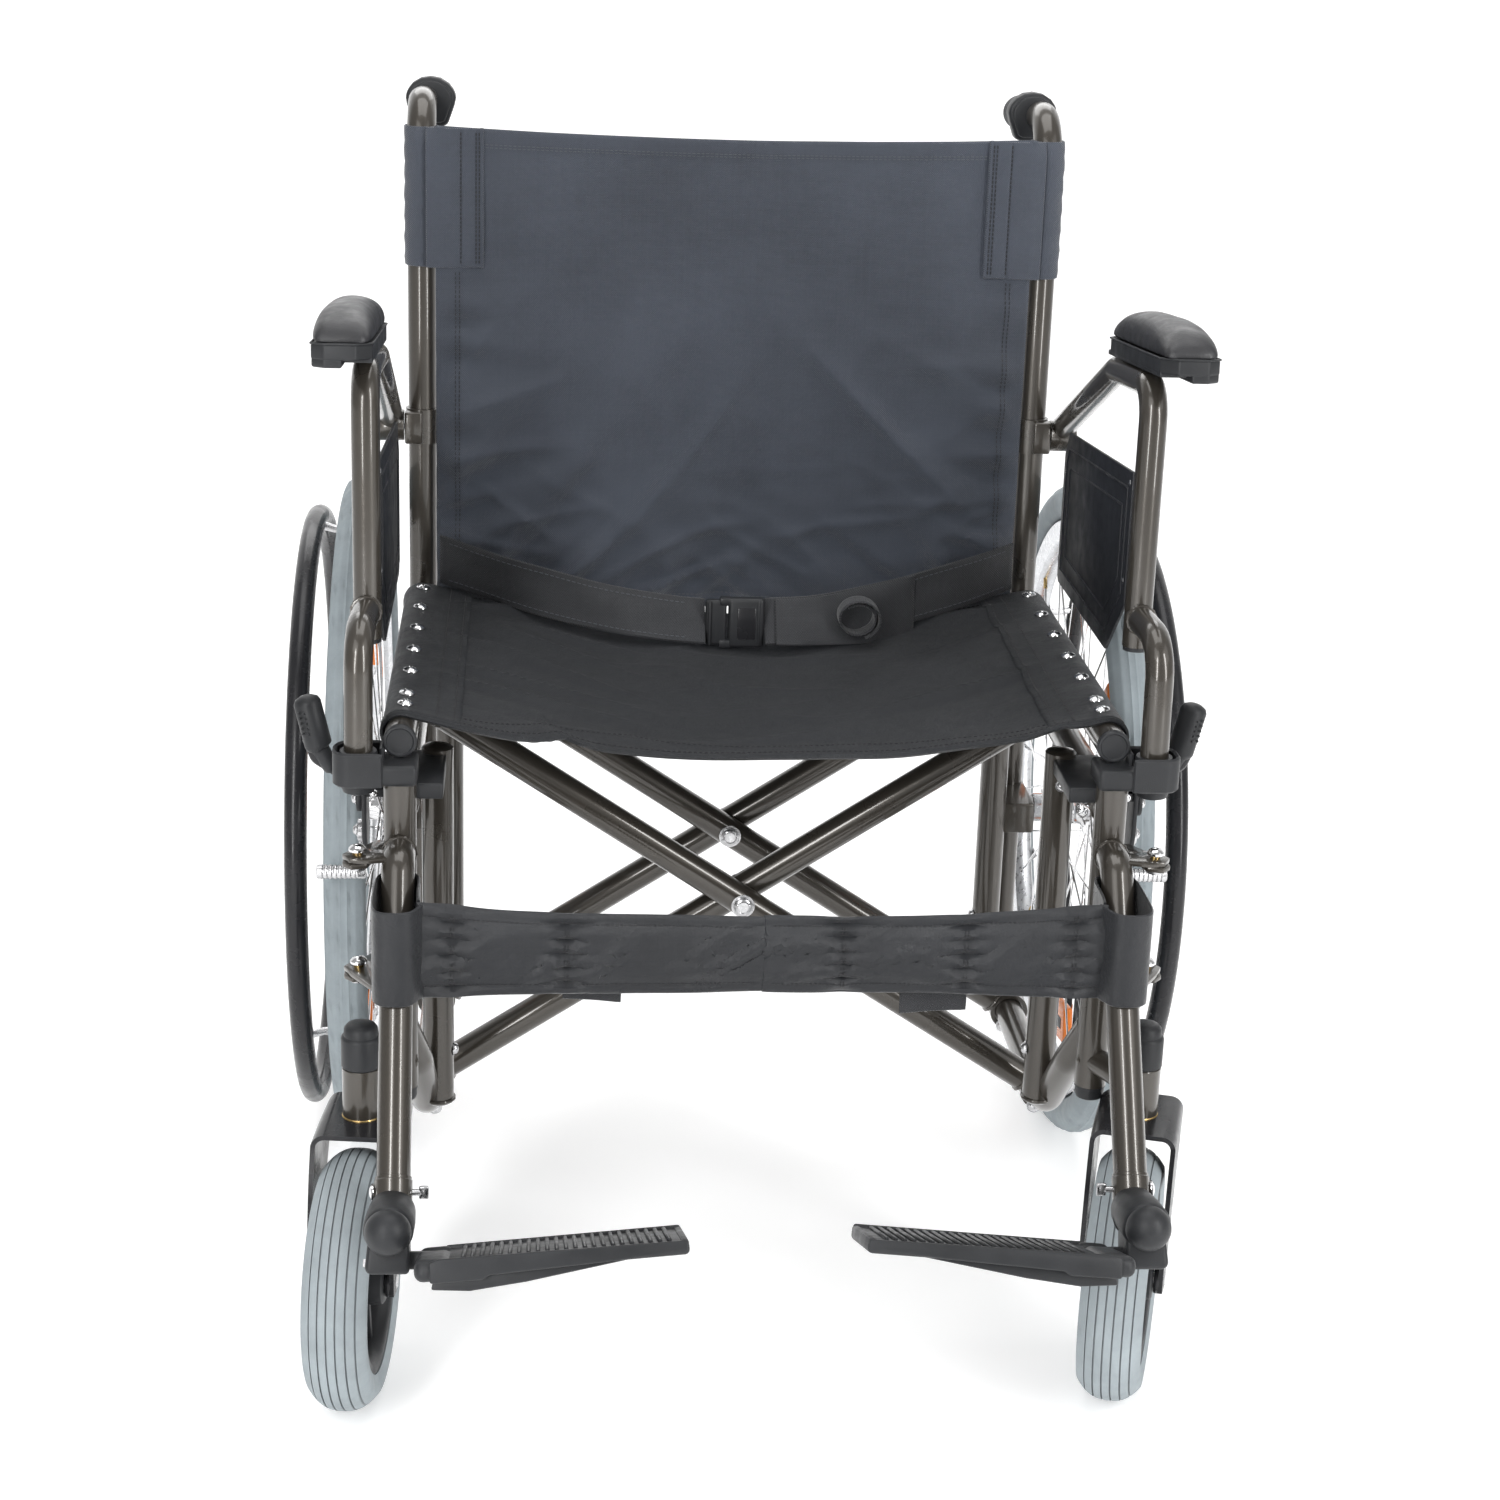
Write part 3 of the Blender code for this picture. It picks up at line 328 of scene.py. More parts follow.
# ---------------------------------------------------------------- shape helpers
def path_frames(points):
    """(point, tangent, two side axes, mitre stretch, bend direction) along a path."""
    dirs = [(b - a).normalized() for a, b in zip(points, points[1:])]
    previous = dirs[0]
    u = previous.cross(UP)
    u = previous.orthogonal().normalized() if u.length < 0.05 else u.normalized()
    out = []
    for i, p in enumerate(points):
        a, b = dirs[max(i - 1, 0)], dirs[min(i, len(dirs) - 1)]
        t = (a + b).normalized()
        u = previous.rotation_difference(t) @ u
        u = (u - t * u.dot(t)).normalized()
        stretch = 1 / max(math.cos(a.angle(b, 0.0) / 2), 0.5)
        out.append((p, t, u, t.cross(u).normalized(), stretch, (b - a).normalized()))
        previous = t
    return out


def fillet(points, radii, seg=7):
    """Rounds a path's inner corners with arcs, one radius for each."""
    points = [Vector(p) for p in points]
    out = [points[0]]
    for a, p, b, radius in zip(points, points[1:], points[2:], radii):
        u, v = (a - p).normalized(), (b - p).normalized()
        half = u.angle(v) / 2
        reach = min(radius / math.tan(half), 0.48 * (a - p).length, 0.48 * (b - p).length)
        centre = p + (u + v).normalized() * (reach * math.tan(half) / math.sin(half))
        start, end = p + u * reach - centre, p + v * reach - centre
        sweep, axis = start.angle(end), start.cross(end).normalized()
        out += [centre + Matrix.Rotation(sweep * k / seg, 3, axis) @ start
                for k in range(seg + 1)]
    return out + [points[-1]]


def arc(centre, radius, a0, a1, n):
    angles = [math.radians(a0 + (a1 - a0) * i / n) for i in range(n + 1)]
    return [(centre[0] + radius * math.cos(a), centre[1] + radius * math.sin(a))
            for a in angles]


def mirrored(half):
    """A (radius, distance) profile followed by its reflection in distance 0."""
    return half + [(r, -d) for r, d in half[::-1]]


def radial(angle):
    """The radial direction at an angle about X, and the rotation that takes Y to it."""
    u = Vector((0, math.cos(angle), math.sin(angle)))
    w = Vector((0, -math.sin(angle), math.cos(angle)))
    return u, Matrix((ACROSS, u, w)).transposed()


def rumple(x, y, z, scale, seed):
    return noise.noise(Vector((x * scale + seed, y * scale - seed * 0.7,
                               z * scale + seed * 1.3)))


def crease(x, z, lean, across, along, seed):
    """Fine upstanding creases that run along a direction lean (radians from upright)."""
    a = x * math.cos(lean) - z * math.sin(lean)
    b = x * math.sin(lean) + z * math.cos(lean)
    n = noise.noise(Vector((a * across + seed, b * along - seed, seed * 0.37)))
    return (1 - min(1.0, abs(n) * 2.6)) ** 1.6


def ease(x, lo, hi):
    k = max(0.0, min(1.0, (x - lo) / (hi - lo)))
    return k * k * (3 - 2 * k)


def cane_lean(z):
    """How far the bent cane stands behind its straight part at height z."""
    up = max(0.0, z - BEND_Z)
    return BEND_R - math.sqrt(max(0.0, BEND_R ** 2 - up ** 2))


def folds(ob):
    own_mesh(ob)


class Piece:
    """Collects one object's mesh. side ("l" or "r") ends its name and mirrors it for "l"."""

    def __init__(self, name, side="", mirror=True, transform=Matrix()):
        self.suffix = f"_{side}" if side else ""
        self.name = f"vis_{name}{self.suffix}"
        self.sign = -1 if side == "l" and mirror else 1
        self.transform = transform
        self.verts, self.faces, self.slots, self.mats = [], [], [], []

    def add(self, verts, faces, mat):
        if mat not in self.mats:
            self.mats.append(mat)
        first = len(self.verts)
        self.verts += [self.transform @ Vector(p) for p in verts]
        self.faces += [[first + i for i in f] for f in faces]
        self.slots += [self.mats.index(mat)] * len(faces)

    def loft(self, rows, mat):
        """Skin over rings with equal counts, closed at both ends."""
        n = len(rows[0])
        faces = []
        for a in range(0, (len(rows) - 1) * n, n):
            for i in range(n):
                j = (i + 1) % n
                faces.append((a + i, a + j, a + n + j, a + n + i))
        faces.append(tuple(range(n))[::-1])
        faces.append(tuple((len(rows) - 1) * n + i for i in range(n)))
        self.add([p for row in rows for p in row], faces, mat)

    def tube(self, points, radius, mat, n=28, dome=0.0, squash=1.0):
        """A tube along a path. radius may be a list; dome is how far its ends bulge."""
        stations = path_frames([Vector(p) for p in points])
        radii = radius if isinstance(radius, list) else [radius] * len(stations)
        angles = [2 * math.pi * i / n for i in range(n)]

        def ring(u, w, r):
            return [(u * math.cos(a) + w * math.sin(a) * squash) * r for a in angles]

        rows = [[p + off + bend * off.dot(bend) * (stretch - 1) for off in ring(u, w, r)]
                for (p, t, u, w, stretch, bend), r in zip(stations, radii)]
        if dome:
            for end, way in ((0, -1), (-1, 1)):
                p, t, u, w = stations[end][:4]
                cap = []
                for q in map(math.radians, (30, 60, 80)):
                    centre = p + t * (way * dome * math.sin(q))
                    cap.append([centre + off for off in ring(u, w, radii[end] * math.cos(q))])
                rows = cap[::-1] + rows if end == 0 else rows + cap
        self.loft(rows, mat)

    def lathe(self, profile, origin, axis, mat, n=48, closed=False, ripple=None):
        """Turns (radius, distance) pairs about an axis; ripple adds to the radius."""
        axis, origin = Vector(axis).normalized(), Vector(origin)
        u = axis.orthogonal().normalized()
        w = axis.cross(u)
        verts, rows = [], []
        for r, d in profile:
            if abs(r) < 1e-9:
                rows.append([len(verts)])
                verts.append(origin + axis * d)
                continue
            rows.append(list(range(len(verts), len(verts) + n)))
            for i in range(n):
                a = 2 * math.pi * i / n
                rr = r + (ripple(a, r, d) if ripple else 0)
                verts.append(origin + axis * d + (u * math.cos(a) + w * math.sin(a)) * rr)
        faces = []
        for a, b in list(zip(rows, rows[1:])) + ([(rows[-1], rows[0])] if closed else []):
            for i in range(n):
                j = (i + 1) % n
                corners = (a[i % len(a)], a[j % len(a)], b[j % len(b)], b[i % len(b)])
                face = tuple(dict.fromkeys(corners))   # a point on the axis counts once
                if len(face) > 2:
                    faces.append(face)
        self.add(verts, faces, mat)

    def rod(self, a, b, r, mat, n=20):
        a, b = Vector(a), Vector(b)
        length = (b - a).length
        ch = min(0.0006, r * 0.4, length * 0.4)
        self.lathe([(0, 0), (r - ch, 0), (r, ch), (r, length - ch), (r - ch, length),
                    (0, length)], a, b - a, mat, n)

    def take(self, bm, mat):
        bm.verts.index_update()
        self.add([v.co.copy() for v in bm.verts],
                 [[v.index for v in f.verts] for f in bm.faces], mat)
        bm.free()

    def box(self, lo, hi, mat, bevel=0.001, seg=2, turn=Matrix.Identity(3)):
        lo, hi = Vector(lo), Vector(hi)
        bm = bmesh.new()
        bmesh.ops.create_cube(bm, size=1.0)
        for v in bm.verts:
            v.co = v.co * (hi - lo)
        bmesh.ops.bevel(bm, geom=bm.edges[:], offset=bevel, segments=seg, profile=0.5,
                        affect="EDGES")
        for v in bm.verts:
            v.co = turn @ v.co + (lo + hi) / 2
        self.take(bm, mat)

    def prism(self, outline, plane, lo, hi, mat, bevel=0.0008, seg=2):
        """An outline in a plane ("xy", "yz" or "xz"), thickened from lo to hi."""
        def at(a, b, d):
            return {"xy": (a, b, d), "yz": (d, a, b), "xz": (a, d, b)}[plane]

        bm = bmesh.new()
        low, high = [[bm.verts.new(at(*p, d)) for p in outline] for d in (lo, hi)]
        n = len(outline)
        bm.faces.new(low)
        bm.faces.new(high[::-1])
        for i in range(n):
            j = (i + 1) % n
            bm.faces.new((low[i], high[i], high[j], low[j]))
        bmesh.ops.recalc_face_normals(bm, faces=bm.faces)
        edges = [e for e in bm.edges if e.calc_face_angle(0) > 0.5]
        bmesh.ops.bevel(bm, geom=edges, offset=bevel, segments=seg, profile=0.5,
                        affect="EDGES")
        self.take(bm, mat)

    def sheet(self, surface, nu, nv, thick, mat):
        """A closed skin either side of surface(u, v), with rounded rims.
        thick may be a function of u and v."""
        e = 1e-4
        grid = []
        for j in range(nv + 1):
            for i in range(nu + 1):
                u, v = i / nu, j / nv
                du = Vector(surface(min(u + e, 1), v)) - Vector(surface(max(u - e, 0), v))
                dv = Vector(surface(u, min(v + e, 1))) - Vector(surface(u, max(v - e, 0)))
                half = (thick(u, v) if callable(thick) else thick) / 2
                grid.append((Vector(surface(u, v)), du.cross(dv).normalized() * half, half,
                             du.normalized(), dv.normalized()))
        verts = [g[0] + g[1] for g in grid] + [g[0] - g[1] for g in grid]
        row, o = nu + 1, len(grid)
        faces = []
        for j in range(nv):
            for a in range(j * row, j * row + nu):
                faces.append((a, a + 1, a + row + 1, a + row))
                faces.append((o + a, o + a + row, o + a + row + 1, o + a + 1))
        border = (list(range(row)) + [j * row + nu for j in range(1, nv + 1)]
                  + [nv * row + i for i in range(nu - 1, -1, -1)]
                  + [j * row for j in range(nv - 1, 0, -1)])
        rim = len(verts)
        for k in border:
            p, _, half, du, dv = grid[k]
            i, j = k % row, k // row
            out = du * ((i == nu) - (i == 0)) + dv * ((j == nv) - (j == 0))
            verts.append(p + out.normalized() * half * 0.9)
        for q, a in enumerate(border):
            r = (q + 1) % len(border)
            b = border[r]
            faces.append((b, a, rim + q, rim + r))
            faces.append((o + a, o + b, rim + r, rim + q))
        self.add(verts, faces, mat)

    def stitch(self, surface, start, end, count, mat, lift, thick=None, radius=0.00045,
               normal=FORWARD):
        """Thread dashes from start to end, both (u, v), held off the surface by lift
        beyond half its thickness."""
        fill = 0.62            # the part of each pitch that shows thread

        def point(t):
            u, v = [a + (b - a) * t for a, b in zip(start, end)]
            height = lift + (thick(u, v) / 2 if thick else 0)
            return Vector(surface(u, v)) + normal * height

        for i in range(count):
            t0, t1 = (i + (1 - fill) / 2) / count, (i + (1 + fill) / 2) / count
            crown = point((t0 + t1) / 2) + normal * radius * 0.9
            self.tube([point(t0), crown, point(t1)], radius, mat, 5)

    def weld(self, origin, axis, r, minor=0.0019):
        """A rippled bead of weld round a tube's foot."""
        profile = [(r - 0.0012, -minor), (r + minor * 0.55, -minor * 0.75), (r + minor * 0.9, 0),
                   (r + minor * 0.55, minor * 0.75), (r - 0.0012, minor)]
        self.lathe(profile, origin, axis, PAINT, 44, True,
                   lambda a, rr, d: 0.00035 * math.sin(a * 15) if rr > r else 0)

    def bolt(self, origin, axis, r, h, mat, kind="dome"):
        """A fastener head pointing along axis: dome, hex on a washer, or cup."""
        if kind == "dome":
            self.lathe([(0, 0), (r * 1.25, 0), (r * 1.25, h * 0.18), (r, h * 0.2),
                        (r * 0.95, h * 0.5), (r * 0.72, h * 0.82), (r * 0.38, h * 0.97),
                        (0, h)], origin, axis, mat, 24)
        elif kind == "hex":
            self.lathe([(0, 0), (r * 1.35, 0), (r * 1.35, h * 0.2), (0, h * 0.2)],
                       origin, axis, mat, 24)
            self.lathe([(0, 0), (r, 0), (r, h * 0.66), (r * 0.86, h * 0.78), (0, h * 0.78)],
                       Vector(origin) + Vector(axis).normalized() * h * 0.2, axis, mat, 6)
        else:
            self.lathe([(0, 0), (r * 1.5, 0), (r * 1.42, h * 0.35), (r * 0.95, h * 0.72),
                        (r * 0.92, h * 0.6), (r * 0.6, h * 0.85), (r * 0.2, h * 0.95),
                        (r * 0.16, h * 0.55), (0, h * 0.55)], origin, axis, mat, 20)

    def make(self, sharp=38):
        """Makes the object; edges that turn by sharp degrees or more stay hard."""
        me = bpy.data.meshes.new(self.name)
        verts = [(self.sign * p.x, p.y + AXLE_SHIFT, p.z) for p in self.verts]
        faces = [f[::-1] for f in self.faces] if self.sign < 0 else self.faces
        me.from_pydata(verts, [], faces)
        for mat in self.mats:
            me.materials.append(mat)
        me.polygons.foreach_set("material_index", self.slots)
        me.update()
        bm = bmesh.new()
        bm.from_mesh(me)
        bmesh.ops.recalc_face_normals(bm, faces=bm.faces)
        for f in bm.faces:
            f.smooth = True
        for e in bm.edges:
            e.smooth = e.calc_face_angle(0.0) < math.radians(sharp)
        bm.to_mesh(me)
        bm.free()
        ob = bpy.data.objects.new(self.name, me)
        bpy.context.scene.collection.objects.link(ob)
        return ob

    def ride(self, body, *nodes, slot=None, sub=0, sharp=38):
        """Makes the object on a moving body, in place of CAD nodes. slot is not used."""
        ob = self.make(sharp)
        if sub:
            modifier = ob.modifiers.new("sub", "SUBSURF")
            modifier.levels = modifier.render_levels = sub
        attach(ob, body)
        if nodes:
            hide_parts(*nodes)
        return ob

    def fit(self, body, *nodes, slot=None, **options):
        """ride, with this piece's side ending added to every name."""
        end = self.suffix
        return self.ride(body + end, *[n + end for n in nodes],
                         slot=slot + end if slot else None, **options)


# ---------------------------------------------------------------- side frames
def frame_tubes(side):
    frame = Piece("frame_tubes", side)

    def tube(points, radius=TUBE_R, dome=0.0):
        frame.tube(points, radius, PAINT, 32, dome)

    bend = arc((CANE_Y + BEND_R, BEND_Z), BEND_R, 180, 90, 14)
    tube([(FRAME_X, CANE_Y, BASE_Z + 0.004)] + [(FRAME_X, y, z) for y, z in bend]
         + [(FRAME_X, 0.199, HANDLE_END_Z)])
    tube(fillet([(BASE_X, 0.048, BASE_Z), (BASE_X, -0.318, BASE_Z), (0.2665, -0.386, 0.222),
                 (FRAME_X, -0.411, 0.262)], [0.05, 0.05]), dome=0.001)
    tube([(FRAME_X, FRONT_Y, 0.2155), (FRAME_X, FRONT_Y, 0.47)])
    tube([(FRAME_X, FRONT_Y, SIDE_RAIL_Z), (FRAME_X, CANE_Y, SIDE_RAIL_Z)], TUBE_R * 0.995)
    for y, bottom, top in zip(POST_YS, (0.162, 0.156), (0.47, 0.456)):
        tube([(POST_X, y, bottom), (POST_X, y, top)], dome=0.003)
    # stub out to the caster stem, and the housing on its end
    stub_z = 0.238
    frame.tube([(FRAME_X, FRONT_Y, stub_z), (CASTER_X, CASTER_Y, 0.236)], STUB_R, PAINT, 24)
    frame.lathe([(0, 0), (0.0145, 0), (0.015, 0.0006), (0.015, 0.043), (0.0145, 0.0436),
                 (0, 0.0436)], (CASTER_X, CASTER_Y, CASTER_CUP_Z), UP, PAINT, 40)
    stub = (CASTER_X - FRAME_X, CASTER_Y - FRONT_Y, 0)
    front_y, rear_y = POST_YS
    for place, axis, radius in (
            ((FRAME_X, CANE_Y - TUBE_R + 0.0005, SIDE_RAIL_Z), REARWARD, TUBE_R),
            ((FRAME_X, FRONT_Y + TUBE_R - 0.0005, SIDE_RAIL_Z), REARWARD, TUBE_R),
            ((FRAME_X - 0.002, FRONT_Y, stub_z), stub, STUB_R),
            ((CASTER_X - 0.0065, CASTER_Y + 0.0125, 0.236), stub, STUB_R),
            ((POST_X, front_y, 0.164), UP, TUBE_R),
            ((POST_X + 0.001, rear_y, 0.163), UP, TUBE_R),
            ((FRAME_X, CANE_Y, BASE_Z + 0.016), UP, TUBE_R)):
        frame.weld(place, axis, radius)
    # brackets: front tie, rear tie, axle block, armrest lug
    for lo, hi, mat, bevel in (
            ((0.244, -0.4175, 0.4545), (0.283, -0.333, 0.4672), BLACK, 0.0018),
            ((0.2505, -0.038, 0.439), (0.279, -0.022, 0.453), PAINT, 0.0018),
            ((0.258, -0.033, 0.2905), (0.2914, 0.0395, 0.3195), PAINT, 0.0022),
            ((0.2765, 0.0145, 0.6405), (0.2925, 0.0455, 0.6695), PAINT, 0.0022)):
        frame.box(lo, hi, mat, bevel, 3)
    frame.lathe(mirrored([(0.0129, -0.016), (0.0152, -0.0155)]),
                (FRAME_X, CANE_Y, ARM_HINGE_Z), UP, PAINT, 36, True)
    frame.rod((0.2915, ARM_HINGE_Y, ARM_HINGE_Z), (0.3162, ARM_HINGE_Y, ARM_HINGE_Z), 0.004,
              STEEL)
    frame.fit("frame", "side_frame")


def frame_hardware(side):
    parts = Piece("frame_hardware", side)
    # two lugs on the front upright, each with a pin that takes the legrest
    lug = [(0.281, -0.412), (0.2905, -0.424), (0.2935, -0.44), (0.3, -0.462),
           (0.312, -0.466), (0.319, -0.458), (0.319, -0.444), (0.296, -0.408)]
    x, y = 0.308, -0.452
    for z in (0.414, 0.322):
        parts.prism(lug, "xy", z, z + 0.004, PAINT)
        parts.rod((x, y, z - 0.0005), (x, y, z + 0.012), 0.004, BRASS)
        parts.lathe([(0, -0.004), (0.0062, -0.004), (0.0072, -0.0025), (0.0072, 0), (0, 0)],
                    (x, y, z), UP, STEEL, 24)
        parts.lathe([(0, 0.0112), (0.0066, 0.0112), (0.0066, 0.013), (0.0048, 0.0152),
                     (0.002, 0.0162), (0, 0.0164)], (x, y, z), UP, CHROME, 24)
    # rings below and above the caster housing
    parts.lathe([(0.0085, -0.0016), (0.0142, -0.0016), (0.0156, 0), (0.0156, 0.003),
                 (0.0148, 0.004), (0.0085, 0.004)],
                (CASTER_X, CASTER_Y, CASTER_CUP_Z), UP, BRASS, 36, True)
    parts.lathe([(0, 0), (0.0132, 0), (0.0132, 0.0016), (0, 0.0016)],
                (CASTER_X, CASTER_Y, 0.256), UP, STEEL, 36)
    # bolt heads on the posts, the axle block and below the brace barrels
    surface = TUBE_R - 0.0005
    for y in POST_YS:
        parts.bolt((POST_X - surface, y, 0.208), INWARD, 0.0048, 0.0045, STEEL)
    parts.bolt((POST_X, POST_YS[0] - surface, 0.445), FORWARD, 0.0042, 0.004, STEEL)
    parts.bolt((0.2582, 0.022, 0.305), INWARD, 0.0055, 0.006, STEEL, "hex")
    parts.bolt((0.2582, -0.012, 0.305), INWARD, 0.0075, 0.007, BLACK, "hex")
    for y in (-0.302, -0.132):
        parts.bolt((BASE_X - 0.006, y, BASE_Z - TUBE_R * 0.85), FORWARD, 0.0052, 0.005, STEEL)
    # cap on the armrest hinge pin
    parts.lathe([(0, 0), (0.0068, 0), (0.0068, 0.0012), (0.0052, 0.0026), (0, 0.003)],
                (0.3162, ARM_HINGE_Y, ARM_HINGE_Z), ACROSS, CHROME, 24)
    parts.fit("frame", slot="axle")


def plugs(side):
    """Plug under the front upright and cap over the caster stem."""
    plug = Piece("plugs", side)
    plug.lathe([(0, -0.012), (0.0085, -0.012), (0.011, -0.0105), (0.0118, -0.0075),
                (0.0118, -0.0018), (0.0126, -0.0016), (0.0126, -0.0003), (0, -0.0003)],
               (FRAME_X, FRONT_Y, 0.2155), UP, BLACK, 36)
    plug.lathe([(0, 0), (0.0145, 0), (0.0155, 0.0012), (0.0155, 0.0235), (0.015, 0.025),
                (0.0134, 0.0262), (0.013, 0.0318), (0.0108, 0.0345), (0.006, 0.0357),
                (0, 0.036)], (CASTER_X, CASTER_Y, 0.2569), UP, BLACK, 40)
    plug.fit("frame", "upright_plug", "caster_cap", slot="caster_cap")


def saddle(side):
    """Block on the front upright, with a socket for the armrest's front leg."""
    block = Piece("saddle", side)
    block.box((0.2632, -0.4368, 0.4704), (0.302, -0.3955, 0.487), BLACK, 0.0035, 3)
    block.lathe([(0, -0.014), (0.0095, -0.014), (0.012, -0.013), (0.015, -0.005),
                 (0.015, -0.002), (0, -0.002)], (SOCKET_X, FRONT_Y, 0.4755), UP, BLACK, 44)
    band = fillet([(0.2905, -0.4372, 0), (0.3262, -0.4372, 0), (0.3262, -0.4028, 0),
                   (0.2905, -0.4028, 0), (0.2905, -0.42, 0)], [0.0125, 0.0125, 0.004], 9)

    def clamp(u, v):
        k = u * (len(band) - 1)
        i = min(int(k), len(band) - 2)
        p = band[i].lerp(band[i + 1], k - i)
        return (p.x, p.y, 0.4712 + 0.0248 * v)

    block.sheet(clamp, 96, 4, 0.0034, BLACK)
    block.lathe([(0.0112, 0), (0.0146, 0), (0.015, 0.001), (0.015, 0.014), (0.014, 0.016),
                 (0.0112, 0.016)], (SOCKET_X, FRONT_Y, 0.479), UP, BLACK, 40, True)
    block.fit("frame", "front_saddle")


def push_grip(side):
    """Ribbed sleeve with a domed shield where the cane bends."""
    grip = Piece("push_grip", side)
    bore_r, start, end = 0.0134, 0.0945, 0.2035
    rib_r, groove_r = 0.0158, 0.015
    profile = [(bore_r, start), (0.0152, start), (rib_r, 0.097)]
    for i in range(11):
        y = 0.112 + 0.0078 * i
        profile += [(rib_r, y), (groove_r, y + 0.0012), (groove_r, y + 0.003),
                    (rib_r, y + 0.0042)]
    profile += [(rib_r, 0.198), (groove_r, 0.204), (0.012, 0.2072), (0.006, 0.208),
                (0, 0.208), (0, 0.204), (bore_r, end)]
    grip.lathe(profile, GRIP_ROOT, GRIP_AXIS, BLACK, 40)
    grip.lathe([(bore_r, start), (bore_r, end)], GRIP_ROOT, GRIP_AXIS, BLACK, 40)
    half = [(-0.01, -0.0225), (-0.015, -0.0205), (-0.0205, -0.005), (-0.0222, 0.002),
            (-0.0215, 0.008), (-0.016, 0.015), (-0.0085, 0.0195)]
    hood = half + [(0, 0.0208)] + [(-x, z) for x, z in half[::-1]]
    hood_x, hood_z = 0.2709, GRIP_ROOT.z + GRIP_AXIS.z * 0.1
    for scale, lo, hi, bevel, seg in ((1, 0.09, 0.1075, 0.0035, 4),
                                      (0.84, 0.0875, 0.0925, 0.0018, 3)):
        grip.prism([(hood_x + x * scale, hood_z + z * scale) for x, z in hood], "xz", lo, hi,
                   BLACK, bevel, seg)
    grip.fit("frame", "push_grip")


def brake_mount(side):
    mount = Piece("brake_mount", side)
    for lo, hi in ((0.44, 0.447), (0.449, 0.456)):
        mount.box((0.2902, -0.372, lo), (0.3094, -0.348, hi), BLACK, 0.0012)
    mount.prism([(-0.374, 0.4565), (-0.374, 0.412), (-0.368, 0.396), (-0.342, 0.395),
                 (-0.336, 0.401), (-0.336, 0.4565)], "yz", 0.3056, 0.3095, BLACK, 0.0009)
    pivots = ((LEVER_Y, LEVER_Z), (SHOE_Y, SHOE_Z))
    for pivot in pivots:
        mount.rod((0.307, *pivot), (0.3147, *pivot), 0.004, STEEL)
    for pivot in pivots:
        mount.bolt((0.3147, *pivot), ACROSS, 0.0042, 0.0035, STEEL)
    for y in (-0.369, -0.343):
        mount.bolt((0.3095, y, 0.4515), ACROSS, 0.0026, 0.0022, CHROME)
    for z in (0.4435, 0.4525):
        mount.bolt((0.3, -0.3722, z), FORWARD, 0.0026, 0.002, CHROME)
    mount.fit("frame", "brake_mount")


def brake_lever(side):
    lever = Piece("brake_lever", side)
    lever.lathe([(0.0045, 0), (0.0098, 0), (0.0102, 0.0006), (0.0102, 0.0034),
                 (0.0098, 0.004), (0.0045, 0.004)],
                (0.31, LEVER_Y, LEVER_Z), ACROSS, BLACK, 32, True)

    def path(points, radii, seg=7):
        return fillet([(x, LEVER_Y, LEVER_Z + rise) for x, rise in points], radii, seg)

    arm = path([(0.3135, 0.0065), (0.3142, 0.014), (0.3445, 0.034), (0.3505, 0.05)],
               [0.008, 0.008])
    lever.tube(arm, 0.0038, GLOSS, 20, squash=1.5)
    knob = path([(0.3345, 0.027), (0.343, 0.043), (0.3515, 0.079)], [0.02], 8)
    last = len(knob) - 1
    radii = [0.0058 + 0.005 * math.sin(min(1.0, 0.12 + 1.05 * i / last) * math.pi / 2) ** 1.2
             for i in range(last + 1)]
    lever.tube(knob, radii, BLACK, 26, dome=0.006)
    # grip dimples standing proud on the front of the knob, five rows of three
    for i in range(5):
        for j in range(3):
            place = (0.35 + 0.0008 * i + (j - 1) * 0.0042,
                     LEVER_Y - 0.0102 + 0.0012 * (j != 1), LEVER_Z + 0.056 + 0.0042 * i)
            lever.lathe([(0, 0), (0.0012, 0), (0.0011, 0.0008), (0.0006, 0.0012), (0, 0.0013)],
                        place, FORWARD, BLACK, 10)
    lever.fit("lock_lever", "brake_lever")


def brake_shoe(side):
    shoe = Piece("brake_shoe", side)
    shoe.lathe([(0.0045, 0), (0.009, 0), (0.0095, 0.0006), (0.0095, 0.0034), (0.009, 0.004),
                (0.0045, 0.004)], (0.31, SHOE_Y, SHOE_Z), ACROSS, STEEL, 32, True)
    shoe.prism([(SHOE_Y - 0.007, SHOE_Z - 0.004), (SHOE_Y + 0.006, SHOE_Z + 0.004),
                (-0.3165, 0.361), (-0.324, 0.3535)], "yz", 0.3105, 0.3135, STEEL, 0.0006)
    profile = [(0, 0), (0.0046, 0), (0.0056, 0.001)]
    for i in range(8):
        x = 0.006 + 0.0038 * i
        profile += [(0.006, x), (0.0053, x + 0.0009), (0.0053, x + 0.0016),
                    (0.006, x + 0.0024)]
    profile += [(0.0058, 0.0385), (0.0045, 0.0395), (0, 0.0397)]
    shoe.lathe(profile, (0.3103, -0.322, 0.3585), ACROSS, STEEL, 28)
    shoe.fit("lock_shoe", "brake_shoe")


